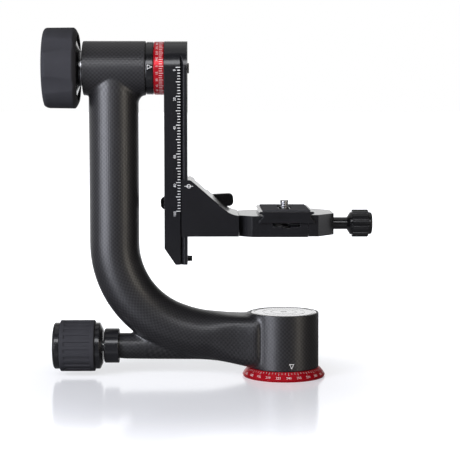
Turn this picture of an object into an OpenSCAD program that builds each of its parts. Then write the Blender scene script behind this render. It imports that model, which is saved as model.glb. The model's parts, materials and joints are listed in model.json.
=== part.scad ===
// Gimbal tripod head with a carbon C-arm, a swing rail and a quick-release platform.
// Origin: centre of the base disc's underside. +Z up, tilt axis along X, millimetres.

/* [Base] */
// Radius of the base disc at its rim
disc_r = 29.6; // [28.6:0.1:32]
// Thickness of the base disc
disc_t = 6.5; // [6:0.1:7.5]
// Height of the rim above the underside
disc_rim_z = 1.3; // [0.8:0.1:2]
// Inset of the disc's foot from its rim
disc_foot_in = 0.6; // [0.3:0.1:1]
// Inset of the line between the number band and the tick band
disc_band_in = 2.1; // [1.5:0.1:2.4]
// Height of the line between the two bands
disc_band_z = 4.4; // [3.6:0.1:5]
// Radius of the tripod stud that the thread takes
tripod_stud_r = 4.76; // [3.2:0.01:5.2]
// Depth of the tripod thread
tripod_thread_l = 12; // [9:0.5:16]
// Wall of the thread insert
insert_wall = 2.3; // [1.5:0.1:3]
// Circle radius of the base screws
base_screw_circle = 15.2; // [15:0.1:15.4]
// Number of base screws
base_screw_count = 4; // [3:1:6]
// Shank radius of the base screws
base_screw_r = 2; // [1.4:0.1:2.1]
// Head radius of the base screws
base_screw_head_r = 3.8; // [3:0.1:4.2]
// Thickness of the spindle's bottom flange
pan_flange_t = 2.1; // [1.8:0.1:2.3]

/* [Pan bearing] */
// Radius of the pan spindle
pan_spindle_r = 12.5; // [11.5:0.1:13]
// Outer radius of the pan bearings
pan_bearing_r = 18.5; // [18:0.1:19.5]
// Width of each pan bearing
pan_bearing_w = 7; // [5:0.5:8]
// Free height between the two pan bearings
pan_bearing_gap = 17; // [14:0.5:18]
// Height of the lower bearing's underside
pan_bearing_z = 9; // [8.9:0.1:9.6]
// Wall of the bearing sleeve at its seats
pan_sleeve_wall = 3; // [2:0.1:3.4]
// Depth of the shoulder that each bearing seats against
bearing_shoulder = 2; // [1:0.1:2.5]
// Thickness of the spindle nut
pan_nut_t = 3; // [2:0.1:3.2]
// Thread radius of the spindle nut
pan_nut_thread_r = 9; // [7:0.1:10]
// Outer radius of the spindle nut
pan_nut_r = 15; // [13:0.1:16]

/* [Hub] */
// Radius of the hub
hub_r = 25; // [24.6:0.1:27]
// Height of the hub's top edge
hub_top_z = 46; // [45.5:0.1:50]
// Gap between the base disc and the hub
hub_lift = 0.3; // [0.2:0.05:0.6]
// Radius of the hub's cap
cap_r = 22.3; // [21.5:0.1:22.6]
// Thickness of the hub's cap
cap_t = 1.8; // [1.4:0.1:2]
// Width of the ring round the cap
cap_ring_w = 1.5; // [1:0.1:1.9]
// Depth of the ring round the cap
cap_ring_t = 2.5; // [2.2:0.1:2.6]

/* [C-arm] */
// Distance from the pan axis to the upright tube's axis
arm_reach = 120.9; // [112:0.1:130]
// Outer radius of the carbon tube
arm_r = 17.35; // [16.6:0.05:18]
// Wall of the carbon tube
arm_wall = 3; // [2:0.1:4]
// Radius of the bend, on the tube's axis
bend_r = 64.9; // [60:0.1:70]
// Height of the lower tube's axis
arm_low_z = 31.3; // [30.6:0.1:32.5]
// Height of the tilt axis
tilt_z = 219.6; // [205:0.1:240]
// Radius of the flare where the tube widens into the hub
flare_r = 100; // [60:1:140]
// Drop of the tube's upper line where it reaches the hub
flare_top_drop = 3.8; // [3:0.1:5]
// Drop of the tube's lower line where it reaches the hub
flare_low_drop = 6.4; // [4:0.1:6.6]
// Squareness of the flare's end section, 2 is an ellipse
flare_power = 4.5; // [2.5:0.1:6]

/* [Tilt barrel] */
// Radius of the barrel
barrel_r = 19.1; // [18.8:0.1:20.5]
// Barrel length left of the tube's axis
barrel_left_l = 21.2; // [20:0.1:24]
// Barrel length right of the tube's axis
barrel_right_l = 22.9; // [22.4:0.1:26]
// Radius of the fillet under the barrel
barrel_fillet = 5.4; // [4:0.1:5.5]
// Rounding of the barrel's ends
barrel_round = 0.8; // [0.4:0.1:1.2]
// Length of the index collar
collar_l = 5.5; // [4.5:0.1:7]
// Radius of the index collar
collar_r = 18.6; // [17.8:0.1:19]
// Length of the tilt scale ring
ring_l = 7.2; // [6.4:0.1:9]
// Radius of the tilt scale ring
ring_r = 18.65; // [17.8:0.1:19]
// Radius of the tilt spindle in its bearings
tilt_spindle_r = 7.5; // [7:0.1:8]
// Outer radius of the tilt bearings
tilt_bearing_r = 14; // [13:0.1:14.2]
// Width of each tilt bearing
tilt_bearing_w = 7; // [5:0.5:9]
// Wall of the tilt sleeve at its seats
tilt_sleeve_wall = 2.2; // [1.4:0.1:2.4]
// Radius of the spindle's flange behind the rail
tilt_flange_r = 14.4; // [13:0.1:15]
// Thickness of the spindle's flange
tilt_flange_t = 4; // [3:0.1:5]
// Radius of the spindle's shoulder against the bearing
tilt_shoulder_r = 9.5; // [9:0.1:10.5]
// Radius of the spindle's threaded end
tilt_thread_r = 5; // [4:0.1:6]

/* [Tilt lock] */
// Radius of the tilt lock knob
tilt_knob_r = 28.5; // [26:0.1:32]
// Length of the knob's grip
tilt_knob_l = 24; // [20:0.1:28]
// Length of the neck between knob and barrel
tilt_neck_l = 1.85; // [1.5:0.05:4]
// Radius of that neck
tilt_neck_r = 12.9; // [11.5:0.1:15]
// Rounding of the grip's outer rim
tilt_knob_round = 3; // [2:0.1:4]
// Number of finger scallops
tilt_scallops = 6; // [4:1:8]
// Depth of a scallop at the outer face
tilt_scallop_d = 1.5; // [0.8:0.1:2]
// Radius of a scallop's curve
tilt_scallop_r = 34; // [24:1:50]
// Lean of the scallops, which makes them fade towards the back
tilt_scallop_lean = 2.5; // [1:0.1:3.5]
// Radius of the cap in the knob's face
tilt_cap_r = 10; // [8:0.1:12]
// Height of the cap's dome
tilt_cap_h = 1; // [0.6:0.1:1.4]
// Thickness of the washer that the knob presses
clamp_washer_t = 1.2; // [0.8:0.1:1.6]

/* [Pan lock] */
// Height of the pan lock's axis
lock_z = 21.8; // [21.4:0.1:22.6]
// Radius of the boss on the arm
boss_r = 9; // [8.2:0.1:9.4]
// Distance from the pan axis to the boss's end
boss_reach = 118; // [110:0.1:126]
// Radius of the ferrule on the boss
ferrule_r = 12.4; // [11:0.1:14]
// Length of the ferrule
ferrule_l = 10.6; // [9:0.1:12]
// Depth of the boss's seat inside the ferrule
ferrule_seat_l = 3; // [2:0.1:4]
// Radius of the lock knob's rubber grip
lock_grip_r = 18.3; // [17:0.1:19.5]
// Length of the rubber grip
lock_grip_l = 25; // [22:0.1:30]
// Thickness of the rubber grip
lock_grip_t = 4.6; // [3:0.1:6]
// Radius of the flanges at both ends of the grip
lock_flange_r = 16.6; // [16:0.1:16.9]
// Thickness of those flanges
lock_flange_t = 3.5; // [2.5:0.1:5]
// Length of the cone between flange and neck
lock_cone_l = 2; // [1:0.1:3]
// Length of the cap on the knob's end
lock_cap_l = 1.5; // [1:0.1:3]
// Number of recesses round the grip
lock_ribs = 22; // [16:1:26]
// Width of a recess
lock_rib_w = 2.6; // [1.6:0.1:3]
// Length of a recess
lock_rib_l = 18.4; // [14:0.1:20]
// Depth of a recess
lock_rib_d = 0.7; // [0.3:0.1:1]
// Radius of the lock screw
lock_screw_r = 4; // [3:0.1:4.5]
// Wall of the threaded bush in the boss
bush_wall = 2.5; // [1.5:0.1:3]
// Length of the bush inside the boss
bush_l = 18; // [14:0.5:24]
// Radius of the push rod inside the arm
push_rod_r = 3.4; // [2.5:0.1:3.6]
// Radius of the brake shoe
shoe_r = 4.4; // [3.8:0.1:5]
// Clearance of the brake shoe to the spindle at rest
shoe_gap = 0.15; // [0.1:0.05:0.3]

/* [Swing rail] */
// Width of the rail across its dovetail
rail_w = 38; // [37:0.1:42]
// Thickness of the rail
rail_t = 16.2; // [14:0.1:19]
// Length of the rail below the tilt axis
rail_drop = 137.6; // [120:0.1:150]
// Height of the chamfer at the rail's lower end
rail_chamfer_h = 11.5; // [6:0.1:16]
// Width of that chamfer
rail_chamfer_w = 7.8; // [4:0.1:9]
// Thickness of the dovetail's flange
dovetail_flange = 2.4; // [2:0.1:3]
// Depth of the dovetail grooves
dovetail_d = 2.6; // [2:0.1:3]
// Radius of the rail's spindle screw head
rail_screw_head_r = 3.6; // [3:0.1:4.4]
// Height of that head above the rail
rail_screw_proud = 1; // [0.6:0.1:1.6]
// Radius of the stop screw's head
stop_head_r = 1.95; // [1.5:0.05:2.6]
// Height of the stop screw's head above the rail
stop_head_h = 3.1; // [2:0.1:4]
// Height of the stop screw above the rail's end
stop_up = 2.6; // [2:0.1:6]

/* [Platform bracket] */
// Height of the platform's underside at rest
bracket_z = 102.8; // [90:0.1:110]
// Height of the bracket along the rail
bracket_h = 39.2; // [34:0.1:46]
// Width of the bracket
bracket_w = 60; // [56:0.1:66]
// Thickness of the platform at its outer end
platform_t = 14.4; // [13.6:0.1:16]
// Flat length on the bracket's top
bracket_flat = 2.3; // [1.5:0.1:5]
// Slope of the bracket, from the horizontal
bracket_slope = 41; // [36:1:44]
// Fillet where the slope meets the platform
bracket_fillet = 17.5; // [10:0.5:22]
// Rounding of the bracket's upper corner
bracket_round = 4; // [2:0.1:5]
// Thickness of the jaw's lip beyond the dovetail
jaw_lip = 1.5; // [1:0.1:1.6]
// Length of the moving jaw along the rail
rail_jaw_h = 33; // [28:0.5:34]
// Depth of the moving jaw from the rail's face
rail_jaw_d = 13; // [11:0.5:15]
// Height of the bar knob's axis above the platform's underside
bar_up = 20.3; // [18:0.1:22]
// Distance of the bar knob's axis from the rail's face
bar_out = 6.3; // [5:0.1:7.5]
// Length of the bar knob
bar_l = 53.6; // [40:0.1:60]
// Height of the bar knob's bar
bar_h = 9.4; // [8:0.1:12]
// Depth of the bar knob's bar
bar_d = 9.6; // [7:0.1:12]
// Length of the bar knob's neck
bar_neck_l = 3.4; // [2:0.1:5]
// Turn of the bar at rest
bar_turn = 3; // [0:1:8]
// Radius of the bar knob's screw
bar_screw_r = 3; // [2:0.1:3.4]

/* [Clamp] */
// Half length of the clamp from the pan axis to its left end
clamp_left = 32.7; // [30:0.1:36]
// Distance from the pan axis to the moving jaw's end
clamp_right = 34; // [32:0.1:38]
// Width of the clamp
clamp_w = 64; // [62:0.1:70]
// Height of the clamp's fixed jaw above the platform's underside
clamp_h = 14.6; // [13.4:0.1:16]
// Extra height of the moving jaw
moving_jaw_up = 0.8; // [0.2:0.1:1.5]
// Height of the clamp's floor above the platform's underside
clamp_floor = 9.7; // [9:0.1:10.4]
// Width of the plate's dovetail
plate_dovetail_w = 38; // [36:0.1:40]
// Length of the corner cuts along the fixed jaw
clamp_cut_x = 8.7; // [6:0.1:10]
// Depth of those corner cuts
clamp_cut_y = 8; // [5:0.1:10]
// Length of the moving jaw's corner cuts
jaw_cut_x = 12; // [9:0.1:13]
// Depth of the moving jaw's corner cuts
jaw_cut_y = 16; // [10:0.1:18]
// Width of the slot under the plate
channel_w = 19; // [14:0.5:22]
// Depth of the slot under the plate
channel_d = 2.6; // [2:0.1:3]
// Width of the groove along the slot's middle
groove_w = 5.8; // [4:0.1:8]
// Extra depth of that groove
groove_d = 1.2; // [0.6:0.1:1.3]
// Height of the clamp screw's axis above the platform's underside
clamp_axis_up = 7.1; // [6.6:0.1:7.3]
// Radius of the clamp screw
clamp_screw_r = 2.5; // [2:0.1:2.6]
// Radius of the guide pins beside the clamp screw
guide_pin_r = 1.5; // [1:0.1:2]
// Distance of each guide pin from the clamp screw
guide_pin_y = 18; // [14:0.5:22]
// Radius of the clamp knob's grip
clamp_knob_r = 9.8; // [8:0.1:12]
// Length of the clamp knob's grip
clamp_grip_l = 11.8; // [9:0.1:15]
// Radius of the clamp knob's shoulders
clamp_shoulder_r = 7.9; // [6.5:0.1:8]
// Radius of the clamp knob's neck
clamp_neck_r = 4.3; // [3.6:0.1:5]
// Length of the clamp knob's neck
clamp_neck_l = 10.6; // [8:0.1:14]
// Number of grooves round the clamp knob
clamp_ribs = 13; // [8:1:16]

/* [Camera plate] */
// Length of the camera plate
plate_l = 68; // [60:0.5:90]
// Thickness of the camera plate
plate_t = 8; // [7:0.1:9]
// Width of the plate's top
plate_top_w = 38; // [36:0.1:40]
// Thickness of the plate's rubber pad
pad_t = 0.8; // [0.4:0.1:1.2]
// Length of the slot for the camera screw
plate_slot_l = 34; // [24:0.5:44]
// Radius of the camera screw's thread
camera_stud_r = 3.175; // [3.1:0.005:3.25]
// Radius of the camera screw's neck below its thread
camera_neck_r = 2.7; // [2:0.1:2.9]
// Height of the camera screw above the pad
camera_stud_l = 5; // [4:0.1:6]
// Radius of the camera screw's head
camera_head_r = 6; // [5:0.1:7]
// Thickness of the camera screw's head
camera_head_t = 2.6; // [2:0.1:3]

/* [Clearances] */
// Radial clearance of a shaft that turns or slides in its hole
run_fit = 0.03; // [0.02:0.01:0.08]
// Clearance between fixed pieces that seat in each other
seat_fit = 0.05; // [0.03:0.01:0.1]
// Gap between faces that move past each other
face_gap = 0.3; // [0.2:0.05:0.4]
// Clearance along the sliding dovetails
dovetail_gap = 0.1; // [0.06:0.01:0.2]

/* [Hidden] */
$fn = 96;
// Overshoot of cutting shapes
cut = 1;

// Base and hub
disc_top_r = hub_r + 0.2;
hub_z = disc_t + hub_lift;
insert_r = tripod_stud_r + insert_wall;
pan_flange_r = pan_bearing_r - 0.7;
spigot_z = disc_t - 3.5;
pan_sleeve_r = pan_bearing_r + pan_sleeve_wall;
upper_bearing_z = pan_bearing_z + pan_bearing_w + pan_bearing_gap;
bearings_top_z = upper_bearing_z + pan_bearing_w;
cap_ring_r = cap_r + seat_fit + cap_ring_w;
cap_seat_z = hub_top_z - cap_ring_t;

// C-arm
upright_x = -arm_reach;
bend_x = bend_r - arm_reach;
bend_z = arm_low_z + bend_r;
arm_bore_r = arm_r - arm_wall;
barrel_left = upright_x - barrel_left_l;
barrel_right = upright_x + barrel_right_l;
barrel_bore_r = tilt_bearing_r + tilt_sleeve_wall;

// Flare: an arc tangent to the tube's side and, just inside it, to the hub
flare_inset = 0.4;
flare_sink = 0.06;
flare_hub_r = hub_r - flare_inset;
flare_cx = -sqrt(pow(flare_hub_r + flare_r, 2) - pow(arm_r + flare_r, 2));
flare_end_x = flare_cx * flare_hub_r / (flare_hub_r + flare_r);
flare_len = -hub_r - bend_x;
flare_sides = 40;
flare_steps = 16;

// Along the tilt axis
collar_x = barrel_right + seat_fit;
ring_x = collar_x + collar_l + face_gap;
rail_x = ring_x + ring_l + seat_fit;
rail_face = rail_x + rail_t;
rail_z = tilt_z - rail_drop;
rail_screw_r = 2;
rail_screw_sunk = 3.4;
stop_screw_r = 1.2;
stop_screw_l = 7.5;
dowel_r = 1.5;
dowel_in = 3.4;
dowel_deep = 4;
washer_x = barrel_left - face_gap - clamp_washer_t;
neck_x = washer_x - seat_fit - tilt_neck_l;
knob_face = neck_x - tilt_knob_l;
knob_core_l = 16;
knob_plate_t = 3;
knob_plate_r = tilt_knob_r - 5;
knob_core_r = tilt_cap_r + 4;
knob_nut_r = tilt_thread_r + 3;
knob_nut_l = 10;
knob_nut_x = knob_face + 8;

// Along the pan lock
ferrule_x = -boss_reach - ferrule_l;
lock_cone_x = ferrule_x - 1;
lock_flange_x = lock_cone_x - lock_cone_l - lock_flange_t;
lock_grip_x = lock_flange_x - lock_grip_l;
lock_cap_x = lock_grip_x - lock_flange_t;
lock_core_r = lock_grip_r - lock_grip_t;
shoe_x = -pan_sleeve_r;
shoe_room = 2;
rod_x = -boss_reach + bush_l;
bush_r = lock_screw_r + bush_wall;
lock_screw_inside = 16;

// Platform and clamp
neck_half = rail_w / 2 - dovetail_d;
jaw_x = rail_face - dovetail_flange - dovetail_gap - jaw_lip;
bracket_x = rail_face + dovetail_gap;
bracket_top = bracket_z + bracket_h;
platform_z = bracket_z + platform_t;
bracket_end = -clamp_left - face_gap;
bar_x = rail_face + bar_out;
bar_z = bracket_z + bar_up;
bar_y = bracket_w / 2 + bar_neck_l;
clamp_z = bracket_z - 0.2;
floor_z = clamp_z + clamp_floor;
clamp_axis_z = clamp_z + clamp_axis_up;
bolt_y = guide_pin_y * 1.1;
bolt_r = 2.5;
bolt_head_r = 4.2;
bolt_head_h = 5;
bolt_grip = 9;
jaw_pin_y = guide_pin_y * 0.75;
rail_pin_z = rail_jaw_h * 0.33;
plate_z = floor_z + 0.1;
plate_half = plate_dovetail_w / 2;
plate_flank = 2.6;
plate_edge = 1.6;
jaw_split = plate_half - plate_flank - 1.5;
plate_top_z = plate_z + plate_t;
pad_top_z = plate_top_z + pad_t;
clamp_neck_x = clamp_right + seat_fit;
clamp_grip_x = clamp_neck_x + clamp_neck_l + 3.4;

// Turns a shape made along +Z so that it runs along +X from x, at height z
module along_x(x, z) {
  translate([x, 0, z])
    rotate([0, 90, 0])
      children();
}

// Turns a shape made along +Z so that it runs along +Y from y
module along_y(x, y, z) {
  translate([x, y, z])
    rotate([-90, 0, 0])
      children();
}

// Straight tube along Z
module pipe(outer_r, inner_r, h) {
  difference() {
    cylinder(r = outer_r, h = h);
    translate([0, 0, -cut])
      cylinder(r = inner_r, h = h + 2 * cut);
  }
}

// Copies a shape evenly round the Z axis
module round_z(count, start = 0) {
  for (i = [0:count - 1])
    rotate([0, 0, start + 360 * i / count])
      children();
}

// Sealed ball bearing: two rings and recessed shields
module ball_bearing(outer_r, inner_r, w) {
  ring = (outer_r - inner_r) / 4;
  shield = 0.4;
  difference() {
    pipe(outer_r, inner_r, w);
    translate([0, 0, w - shield])
      pipe(outer_r - ring, inner_r + ring, w);
    translate([0, 0, -w + shield])
      pipe(outer_r - ring, inner_r + ring, w);
  }
}

// Socket-head screw along Z: the head's top is at the origin, the shank points down
module cap_screw(head_r, head_h, shank_r, l) {
  socket_r = head_r * 0.5;
  difference() {
    union() {
      translate([0, 0, -head_h])
        cylinder(r = head_r, h = head_h);
      translate([0, 0, -head_h - l])
        cylinder(r = shank_r, h = l + head_h / 2);
    }
    translate([0, 0, -head_h * 0.55])
      cylinder(r = socket_r, h = head_h, $fn = 6);
  }
}

// ---- Base -------------------------------------------------------------

module base_disc() {
  color("crimson")
    difference() {
      rotate_extrude()
        polygon([
          [0, 0],
          [disc_r - disc_foot_in, 0],
          [disc_r, disc_rim_z],
          [disc_r - disc_band_in, disc_band_z],
          [disc_top_r, disc_t],
          [0, disc_t]
        ]);
      translate([0, 0, -cut])
        cylinder(r = insert_r + seat_fit, h = disc_t + 2 * cut);
      translate([0, 0, spigot_z - seat_fit])
        cylinder(r = pan_spindle_r + seat_fit, h = disc_t);
      round_z(base_screw_count, 45)
        translate([base_screw_circle, 0, 0])
          base_screw_shape(seat_fit, cut);
    }
}

// Countersunk screw, grown by gap to cut its hole and lengthened by extra below its head
module base_screw_shape(gap, extra) {
  head_h = base_screw_head_r - base_screw_r;
  translate([0, 0, 0.2]) {
    cylinder(r1 = base_screw_head_r + gap, r2 = base_screw_r + gap, h = head_h);
    cylinder(r = base_screw_r + gap, h = disc_t + pan_flange_t - 0.5 + gap);
    if (extra > 0)
      translate([0, 0, -extra])
        cylinder(r = base_screw_head_r + gap, h = extra + 0.01);
  }
}

module base_screws() {
  color("dimgray")
    round_z(base_screw_count, 45)
      translate([base_screw_circle, 0, 0])
        difference() {
          base_screw_shape(0, 0);
          translate([0, 0, -cut])
            cylinder(r = base_screw_r * 0.6, h = cut + 1.4, $fn = 6);
        }
}

module thread_insert() {
  color("silver")
    pipe(insert_r, tripod_stud_r, tripod_thread_l);
}

module pan_spindle() {
  shoulder_r = pan_spindle_r + 1.9;
  color("lightgray")
    difference() {
      union() {
        translate([0, 0, spigot_z])
          cylinder(r = pan_spindle_r, h = bearings_top_z - spigot_z);
        translate([0, 0, disc_t])
          cylinder(r = pan_flange_r, h = pan_flange_t);
        translate([0, 0, disc_t])
          cylinder(r = shoulder_r, h = pan_bearing_z - disc_t - seat_fit);
        translate([0, 0, bearings_top_z - cut])
          cylinder(r = pan_nut_thread_r, h = pan_nut_t + cut);
      }
      translate([0, 0, spigot_z - cut])
        cylinder(r = insert_r + seat_fit, h = tripod_thread_l - spigot_z + cut + seat_fit);
      round_z(base_screw_count, 45)
        translate([base_screw_circle, 0, 0])
          base_screw_shape(seat_fit, 0);
    }
}

module spindle_nut() {
  slots = 4;
  slot_w = 3;
  color("gray")
    translate([0, 0, bearings_top_z + seat_fit])
      difference() {
        pipe(pan_nut_r, pan_nut_thread_r + seat_fit, pan_nut_t);
        round_z(slots)
          translate([pan_nut_r - 1.5, -slot_w / 2, -cut])
            cube([4, slot_w, pan_nut_t + 2 * cut]);
      }
}

// ---- C-arm ------------------------------------------------------------

// Half width of the flare at x, along the tangent arc
function flare_half(x) =
  x < flare_cx ? arm_r
  : arm_r + flare_r - sqrt(pow(flare_r, 2) - pow(x - flare_cx, 2));

// One ring of the flare: a circle just inside the tube that squares up towards the hub
function flare_ring(x) =
  let (s = min(1, (x - bend_x) / flare_len))
  let (ease = s * s * (3 - 2 * s))
  let (top = arm_low_z + arm_r - flare_sink - flare_top_drop * ease)
  let (low = arm_low_z - arm_r + flare_sink - flare_low_drop * s * s)
  let (power = 2 / (2 + (flare_power - 2) * ease))
  let (half_y = flare_half(x) - flare_sink)
  let (half_z = (top - low) / 2)
  let (mid_z = (top + low) / 2)
  [
    for (i = [0:flare_sides - 1])
      let (c = cos(360 * i / flare_sides))
      let (s = sin(360 * i / flare_sides))
      [x, half_y * sign(c) * pow(abs(c), power), mid_z + half_z * sign(s) * pow(abs(s), power)]
  ];

// Triangles that join rings of equal size, with both ends closed
function ring_faces(rings, n) = concat(
  [[for (i = [0:n - 1]) i]],
  [[for (i = [0:n - 1]) rings * n - 1 - i]],
  [
    for (r = [0:rings - 2], i = [0:n - 1])
      let (j = (i + 1) % n)
      [r * n + i, (r + 1) * n + i, (r + 1) * n + j]
  ],
  [
    for (r = [0:rings - 2], i = [0:n - 1])
      let (j = (i + 1) % n)
      [r * n + i, (r + 1) * n + j, r * n + j]
  ]
);

// The tube's widening into the hub
module hub_flare() {
  rings = [
    for (k = [0:flare_steps])
      flare_ring(bend_x + (flare_end_x - bend_x) * k / flare_steps)
  ];
  points = [for (ring = rings, p = ring) p];
  polyhedron(points, ring_faces(flare_steps + 1, flare_sides));
}

// Height of the barrel's underside at distance y from its middle
function barrel_under(y) = tilt_z - sqrt(pow(barrel_r, 2) - pow(y, 2));

// Section of the fillet at one angle round the upright tube, sunk a little into tube and barrel
function fillet_ring(angle) =
  let (f = barrel_fillet * pow(cos(angle), 2))
  let (sink = 0.15)
  let (arc = [
    for (k = [0:6])
      [arm_r - sink + f * (1 - cos(15 * k)), sink - f * (1 - sin(15 * k))]
  ])
  let (section = concat(arc, [[arm_r - sink + f, 1], [arm_r - 2, 1], [arm_r - 2, sink - f]]))
  [
    for (p = section)
      let (y = p[0] * sin(angle))
      [upright_x + p[0] * cos(angle), y, barrel_under(y) + p[1]]
  ];

// The saddle-shaped fillet on the right side, between tube and barrel
module barrel_saddle() {
  steps = 14;
  rings = [for (k = [0:steps]) fillet_ring(80.5 - 161 * k / steps)];
  points = [for (ring = rings, p = ring) p];
  polyhedron(points, ring_faces(steps + 1, 10));
}

module barrel_solid() {
  l = barrel_right - barrel_left;
  along_x(barrel_left, tilt_z)
    rotate_extrude()
      polygon([
        [0, 0],
        [barrel_r - barrel_round, 0],
        [barrel_r, barrel_round],
        [barrel_r, l - barrel_round / 2],
        [barrel_r - barrel_round / 2, l],
        [0, l]
      ]);
}

// The bent tube: upright, quarter bend and the start of the flare
module arm_tube(r, top, extra) {
  translate([upright_x, 0, bend_z])
    cylinder(r = r, h = top - bend_z);
  translate([bend_x, 0, bend_z])
    rotate([90, 0, 0])
      rotate([0, 0, 180])
        rotate_extrude(angle = 90)
          translate([bend_r, 0])
            circle(r = r);
  if (extra > 0)
    along_x(bend_x, arm_low_z)
      cylinder(r = r, h = extra);
}

module carbon_arm() {
  color([0.13, 0.13, 0.14])
    difference() {
      union() {
        arm_tube(arm_r, tilt_z, 0);
        barrel_solid();
        barrel_saddle();
        hub_flare();
        translate([0, 0, hub_z])
          cylinder(r = hub_r, h = hub_top_z - hub_z);
        along_x(-boss_reach - ferrule_seat_l, lock_z)
          cylinder(r = boss_r, h = boss_reach + ferrule_seat_l + bend_x + flare_len * 0.6);
      }
      arm_tube(arm_bore_r, tilt_z - barrel_bore_r - 3, -bend_x - hub_r);
      along_x(barrel_left - cut, tilt_z)
        cylinder(r = barrel_bore_r + seat_fit, h = barrel_right - barrel_left + 2 * cut);
      translate([0, 0, hub_z - cut])
        cylinder(r = pan_sleeve_r + seat_fit, h = hub_top_z);
      translate([0, 0, cap_seat_z])
        cylinder(r = cap_ring_r + seat_fit, h = cap_ring_t + cut);
      along_x(-boss_reach - ferrule_seat_l - cut, lock_z)
        cylinder(r = bush_r + seat_fit, h = bush_l + ferrule_seat_l + cut);
      along_x(-boss_reach, lock_z)
        cylinder(r = push_rod_r + 0.6, h = boss_reach);
      along_x(shoe_x - shoe_room, lock_z)
        cylinder(r = shoe_r + face_gap, h = hub_r);
    }
}

module pan_sleeve() {
  inner_r = pan_bearing_r - bearing_shoulder;
  color("slategray")
    difference() {
      translate([0, 0, hub_z])
        cylinder(r = pan_sleeve_r, h = cap_seat_z - seat_fit - hub_z);
      translate([0, 0, hub_z - cut])
        cylinder(r = pan_bearing_r + seat_fit, h = pan_bearing_z + pan_bearing_w - hub_z + cut);
      translate([0, 0, upper_bearing_z])
        cylinder(r = pan_bearing_r + seat_fit, h = hub_top_z);
      cylinder(r = inner_r, h = hub_top_z);
      along_x(-hub_r, lock_z)
        cylinder(r = shoe_r + run_fit, h = hub_r);
    }
}

module pan_bearing_lower() {
  color("silver")
    translate([0, 0, pan_bearing_z])
      ball_bearing(pan_bearing_r, pan_spindle_r + run_fit, pan_bearing_w - seat_fit);
}

module pan_bearing_upper() {
  color("silver")
    translate([0, 0, upper_bearing_z + seat_fit])
      ball_bearing(pan_bearing_r, pan_spindle_r + run_fit, pan_bearing_w - 2 * seat_fit);
}

module hub_cap() {
  groove_r = cap_r * 0.68;
  color("gainsboro")
    translate([0, 0, hub_top_z - cap_t - 0.2])
      difference() {
        cylinder(r = cap_r, h = cap_t);
        translate([0, 0, cap_t - 0.2])
          pipe(groove_r + 0.25, groove_r - 0.25, cut);
      }
}

// Bevelled ring that holds the cap, with a lip under it
module cap_ring() {
  lip_top = cap_ring_t - cap_t - 0.2 - seat_fit;
  color("whitesmoke")
    translate([0, 0, cap_seat_z])
      rotate_extrude()
        polygon([
          [cap_r - 2, 0],
          [cap_ring_r, 0],
          [cap_ring_r, cap_ring_t - 0.6],
          [cap_ring_r - 0.6, cap_ring_t],
          [cap_r + seat_fit, cap_ring_t],
          [cap_r + seat_fit, lip_top],
          [cap_r - 2, lip_top]
        ]);
}

module pan_lock_bush() {
  color("goldenrod")
    along_x(-boss_reach - ferrule_seat_l, lock_z)
      pipe(bush_r, lock_screw_r + run_fit, bush_l + ferrule_seat_l - 1);
}

module pan_ferrule() {
  bevel = 0.8;
  color("dimgray")
    along_x(ferrule_x, lock_z)
      difference() {
        rotate_extrude()
          polygon([
            [lock_screw_r + 0.6, 0],
            [ferrule_r - bevel, 0],
            [ferrule_r, bevel],
            [ferrule_r, ferrule_l - bevel / 2],
            [ferrule_r - bevel / 2, ferrule_l],
            [lock_screw_r + 0.6, ferrule_l]
          ]);
        translate([0, 0, ferrule_l - ferrule_seat_l])
          cylinder(r = boss_r + seat_fit, h = ferrule_seat_l + cut);
      }
}

module tilt_sleeve() {
  l = barrel_right - barrel_left;
  color("slategray")
    along_x(barrel_left, tilt_z)
      difference() {
        cylinder(r = barrel_bore_r, h = l);
        translate([0, 0, -cut])
          cylinder(r = tilt_bearing_r - bearing_shoulder, h = l + 2 * cut);
        translate([0, 0, -cut])
          cylinder(r = tilt_bearing_r + seat_fit, h = tilt_bearing_w + cut);
        translate([0, 0, l - tilt_bearing_w])
          cylinder(r = tilt_bearing_r + seat_fit, h = tilt_bearing_w + cut);
      }
}

module tilt_bearing_left() {
  color("silver")
    along_x(barrel_left + seat_fit, tilt_z)
      ball_bearing(tilt_bearing_r, tilt_spindle_r + run_fit, tilt_bearing_w - 2 * seat_fit);
}

module tilt_bearing_right() {
  color("silver")
    along_x(barrel_right - tilt_bearing_w + seat_fit, tilt_z)
      ball_bearing(tilt_bearing_r, tilt_spindle_r + run_fit, tilt_bearing_w - 2 * seat_fit);
}

module index_collar() {
  bevel = 0.4;
  color([0.05, 0.05, 0.06])
    along_x(collar_x, tilt_z)
      rotate_extrude()
        polygon([
          [tilt_shoulder_r + 2, 0],
          [collar_r - 0.5, 0],
          [collar_r - 0.5, 0.7],
          [collar_r, 0.7],
          [collar_r, collar_l - bevel],
          [collar_r - bevel, collar_l],
          [tilt_shoulder_r + 2, collar_l]
        ]);
}

// ---- Pan lock ---------------------------------------------------------

// Brake shoe with a hollow face that fits round the spindle
module pan_brake_shoe() {
  color("goldenrod")
    difference() {
      along_x(shoe_x, lock_z)
        cylinder(r = shoe_r, h = pan_sleeve_r);
      cylinder(r = pan_spindle_r + shoe_gap, h = hub_top_z);
    }
}

module pan_push_rod() {
  color("silver")
    along_x(rod_x, lock_z)
      cylinder(r = push_rod_r, h = shoe_x - seat_fit - rod_x);
}

module pan_lock_screw() {
  tip = 0.15;
  start = lock_cone_x - lock_screw_inside;
  color("silver")
    along_x(start, lock_z)
      cylinder(r = lock_screw_r, h = rod_x - tip - start);
}

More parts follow.
